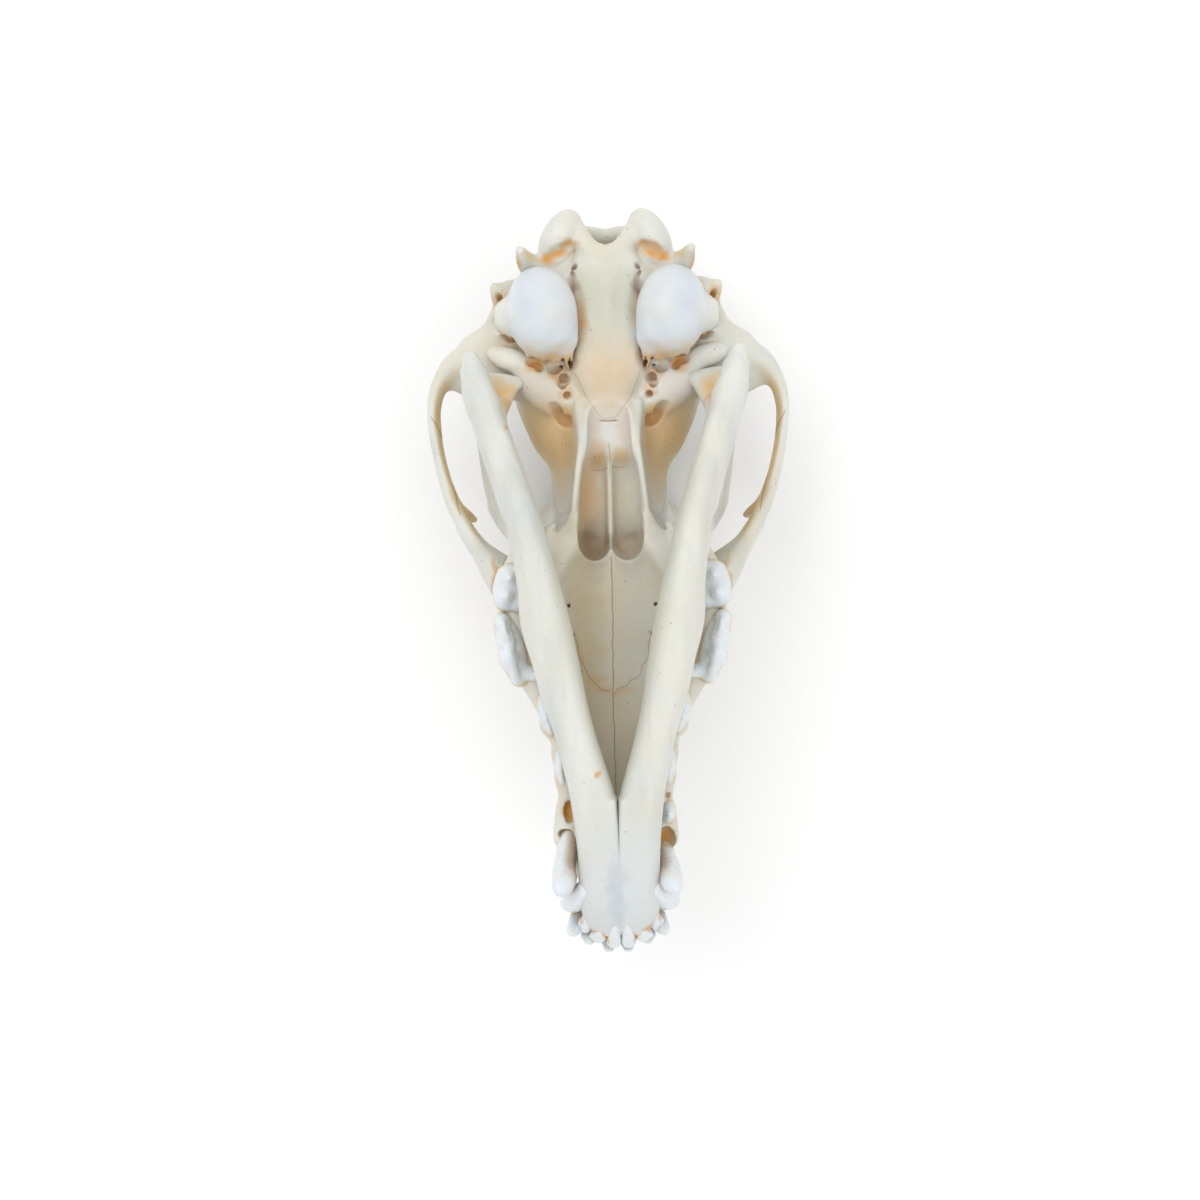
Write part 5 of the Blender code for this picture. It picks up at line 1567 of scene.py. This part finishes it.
def build_teeth(materials):
    """Every tooth as a piece of its own: name, row, sculpted block, gum level."""
    teeth = []
    for row, cheek_teeth, level, incisors in (
        ("upper", UPPER_TEETH, ALVEOLAR_LEVEL, UPPER_INCISORS),
        ("lower", LOWER_TEETH, GUM_LEVEL, LOWER_INCISORS),
    ):
        gum = PAINTED_GUMS[row, "cheek"]
        teeth += [(tooth[0], row, sculpt_crown(tooth, level), gum) for tooth in cheek_teeth]
        gum = PAINTED_GUMS[row, "incisor"]
        teeth += [(f"i{k}", row, sculpt_rod_tooth(paths), gum) for k, paths in enumerate(incisors, 1)]
    teeth.append(("canine", "lower", sculpt_rod_tooth(LOWER_CANINE), PAINTED_GUMS["lower", "canine"]))
    for tooth, row, clay, gum in teeth:
        for side_name, side in SIDES:
            if (row, tooth, side_name) != ("upper", "p1", "left"):
                place_tooth(f"tooth_{row}_{tooth}_{side_name}", clay, row, gum, side, materials)
    for side_name, side, paths in (("left", -1.0, UPPER_CANINE), ("right", 1.0, LOOSE_CANINE)):
        clay = sculpt_rod_tooth(paths)
        gum = PAINTED_GUMS["upper", "canine"]
        place_tooth(f"tooth_upper_canine_{side_name}", clay, "upper", gum, side, materials)


def relaxed(points, faces, rounds):
    """Points drawn towards the middle of their neighbours, which evens out the grid's steps."""
    count = np.bincount(faces.ravel(), minlength=len(points))[:, None] * 2.0
    for _ in range(rounds):
        total = np.zeros_like(points)
        for shift in (1, 3):
            ends = points[np.roll(faces, shift, axis=1)]
            for axis in range(3):
                total[:, axis] += np.bincount(faces.ravel(), ends[:, :, axis].ravel(), len(points))
        points = 0.5 * points + 0.5 * total / count
    return points


def place_tooth(name, clay, row, gum, side, materials):
    """One tooth, painted and put on its side; the lower teeth move with the jaw."""
    points, faces = surface_net(clay.field, clay.low, clay.step)
    points = relaxed(points, faces, CANINE_ROUNDS if "canine" in name else TOOTH_ROUNDS)
    colours = paint_tooth(points, gum, 1.0 if row == "upper" else -1.0)
    if "upper_canine" in name:
        colours = paint_canine_shade(colours, points)
    if "lower_i" in name:
        colours = lay_spots(colours, points, FRONT_STAINS)
    place = points * (side, 1.0, 1.0) if row == "upper" else jaw_place(points, side)
    make_mesh(name, place, turned(faces, side), colours)
    finish_piece(name, None, materials["enamel"])


# Tints of the mottling, colours of the pores and seams, and the height of the grain in metres
WARM_TINT = (0.93, 0.88, 0.78, 1)
GREY_TINT = (0.84, 0.82, 0.79, 1)
PORE_BROWN = (0.16, 0.11, 0.075, 1)
SEAM_BROWN = (0.27, 0.17, 0.08, 1)
GRAIN_HEIGHT = 0.00012


def bone_material(name, roughness, mottle, pore, subsurface):
    """Painted bone with mottling, pores, a dark line in each seam and a grained surface."""
    material = bpy.data.materials.new(name)
    material.use_nodes = True
    tree = material.node_tree
    shader = tree.nodes["Principled BSDF"]
    new = tree.nodes.new
    place = new("ShaderNodeTexCoord").outputs["Object"]

    def attribute(label):
        node = new("ShaderNodeAttribute")
        node.attribute_name = label
        return node.outputs

    def span(source, *ends):
        """Values of the source from the first two ends mapped onto the last two."""
        node = new("ShaderNodeMapRange")
        for socket, value in zip(("From Min", "From Max", "To Min", "To Max"), ends):
            node.inputs[socket].default_value = value
        tree.links.new(source, node.inputs["Value"])
        return node.outputs["Result"]

    def grain(scale, detail, low, high, out_low, out_high, rough=0.55):
        texture = new("ShaderNodeTexNoise")
        texture.inputs["Scale"].default_value = scale
        texture.inputs["Detail"].default_value = detail
        texture.inputs["Roughness"].default_value = rough
        tree.links.new(place, texture.inputs["Vector"])
        return span(texture.outputs["Fac"], low, high, out_low, out_high)

    def math_node(kind, *sources):
        node = new("ShaderNodeMath")
        node.operation = kind
        for socket, source in zip(node.inputs, sources):
            tree.links.new(source, socket)
        return node.outputs[0]

    def blend(kind, share, first, second):
        mix = new("ShaderNodeMix")
        mix.data_type = "RGBA"
        mix.blend_type = kind
        for socket, value in ((mix.inputs["Factor"], share), (mix.inputs[6], first),
                              (mix.inputs[7], second)):
            if isinstance(value, bpy.types.NodeSocket):
                tree.links.new(value, socket)
            else:
                socket.default_value = value
        return mix.outputs[2]

    colour = attribute("paint")["Color"]
    warm = grain(90.0, 4.0, 0.35, 0.7, 0.0, mottle)
    colour = blend("MULTIPLY", warm, colour, WARM_TINT)
    fine = grain(900.0, 5.0, 0.3, 0.75, 0.0, mottle * 0.6, 0.65)
    colour = blend("MULTIPLY", fine, colour, GREY_TINT)
    cells = new("ShaderNodeTexVoronoi")
    cells.inputs["Scale"].default_value = 420.0
    tree.links.new(place, cells.inputs["Vector"])
    dots = span(cells.outputs["Distance"], 0.05, 0.14, pore, 0.0)
    sparse = grain(160.0, 2.0, 0.52, 0.62, 0.0, 1.0)
    holes = math_node("MULTIPLY", dots, sparse)
    colour = blend("MIX", holes, colour, PORE_BROWN)
    away = math_node("ABSOLUTE", attribute("seam")["Fac"])
    drawn = math_node("MULTIPLY", span(away, 0.04, 0.2, 1.0, 0.0), attribute("seam_share")["Fac"])
    colour = blend("MIX", drawn, colour, SEAM_BROWN)
    tree.links.new(colour, shader.inputs["Base Color"])

    gloss = grain(300.0, 3.0, 0.3, 0.7, roughness - 0.07, roughness + 0.1)
    tree.links.new(gloss, shader.inputs["Roughness"])
    relief = math_node("SUBTRACT", grain(700.0, 6.0, 0.2, 0.8, 0.0, 1.0, 0.62), holes)
    relief = math_node("SUBTRACT", relief, drawn)
    bump = new("ShaderNodeBump")
    bump.inputs["Strength"].default_value = 0.5
    bump.inputs["Distance"].default_value = GRAIN_HEIGHT
    tree.links.new(relief, bump.inputs["Height"])
    tree.links.new(bump.outputs["Normal"], shader.inputs["Normal"])
    for socket, value in (("Specular IOR Level", 0.4), ("Subsurface Weight", subsurface),
                          ("Subsurface Radius", (1.0, 0.75, 0.5)), ("Subsurface Scale", 0.0012)):
        shader.inputs[socket].default_value = value
    return material


# The stage, in metres; each light has its name, place and power in watts
FLOOR_SIZE = 4.0
FLOOR_WHITE = (0.96, 0.96, 0.965, 1)
SKY_STRENGTH = 0.84
LIGHT_SIZE = 1.0
LIGHT_TARGET = (0, 0, 0.03)
LIGHTS = (("key", (-0.35, 0.45, 0.9), 3.8), ("fill", (0.5, -0.3, 0.8), 1.7))


def build_stage():
    """A pale floor, an even sky and two lights."""
    bpy.ops.mesh.primitive_plane_add(size=FLOOR_SIZE, location=(0.0, 0.0, 0.0))
    floor = bpy.context.active_object
    floor.name = "floor"
    material = bpy.data.materials.new("floor_paint")
    material.use_nodes = True
    shader = material.node_tree.nodes["Principled BSDF"]
    shader.inputs["Base Color"].default_value = FLOOR_WHITE
    shader.inputs["Roughness"].default_value = 0.9
    shader.inputs["Specular IOR Level"].default_value = 0.1
    floor.data.materials.append(material)

    world = bpy.data.worlds.new("studio")
    bpy.context.scene.world = world
    world.use_nodes = True
    sky = world.node_tree.nodes["Background"]
    sky.inputs["Color"].default_value = (1.0, 1.0, 1.0, 1.0)
    sky.inputs["Strength"].default_value = SKY_STRENGTH
    bpy.context.scene.view_settings.view_transform = "Standard"
    for name, place, power in LIGHTS:
        light = bpy.data.lights.new(name, "AREA")
        light.size = LIGHT_SIZE
        light.energy = power
        item = bpy.data.objects.new(name, light)
        item.location = place
        aim = Vector(LIGHT_TARGET) - Vector(place)
        item.rotation_euler = aim.to_track_quat("-Z", "Y").to_euler()
        bpy.context.scene.collection.objects.link(item)


# The photograph: its focal length and width in pixels, how far right of its middle the skull's
# midline lies in pixels, its scale, the camera's height in metres and the slope of the midline
FOCAL_PIXELS = 2079.0
PICTURE = 1200.0
MIDLINE_OFFSET = 12.2
PIXELS_PER_MM = 3.85
CAMERA_HEIGHT = 0.6
ROLL_SLOPE = 0.0185
SENSOR_WIDTH = 36.0


def build_camera():
    """The camera looks straight down at the palate, as in the photograph."""
    data = bpy.data.cameras.new("photo_camera")
    data.sensor_width = SENSOR_WIDTH
    data.lens = FOCAL_PIXELS / PICTURE * SENSOR_WIDTH
    data.clip_start = 0.02
    camera = bpy.data.objects.new("photo_camera", data)
    camera.location = (-MIDLINE_OFFSET / PIXELS_PER_MM * MM, -LENGTH_MIDDLE * MM, CAMERA_HEIGHT)
    camera.rotation_euler = (0.0, 0.0, -math.atan(ROLL_SLOPE))
    bpy.context.scene.collection.objects.link(camera)
    bpy.context.scene.camera = camera


# Each material: roughness, mottling, pores and how much light goes into it
materials = {
    "bone": bone_material("dry_bone", 0.5, 0.5, 0.6, 0.12),
    "jaw": bone_material("jaw_bone_fine", 0.48, 0.38, 0.5, 0.12),
    "pale": bone_material("capsule_bone", 0.42, 0.2, 0.15, 0.15),
    "enamel": bone_material("enamel", 0.28, 0.2, 0.0, 0.15),
}
build_skull(materials)
build_capsules(materials)
build_jaws(materials)
build_teeth(materials)
build_stage()
build_camera()
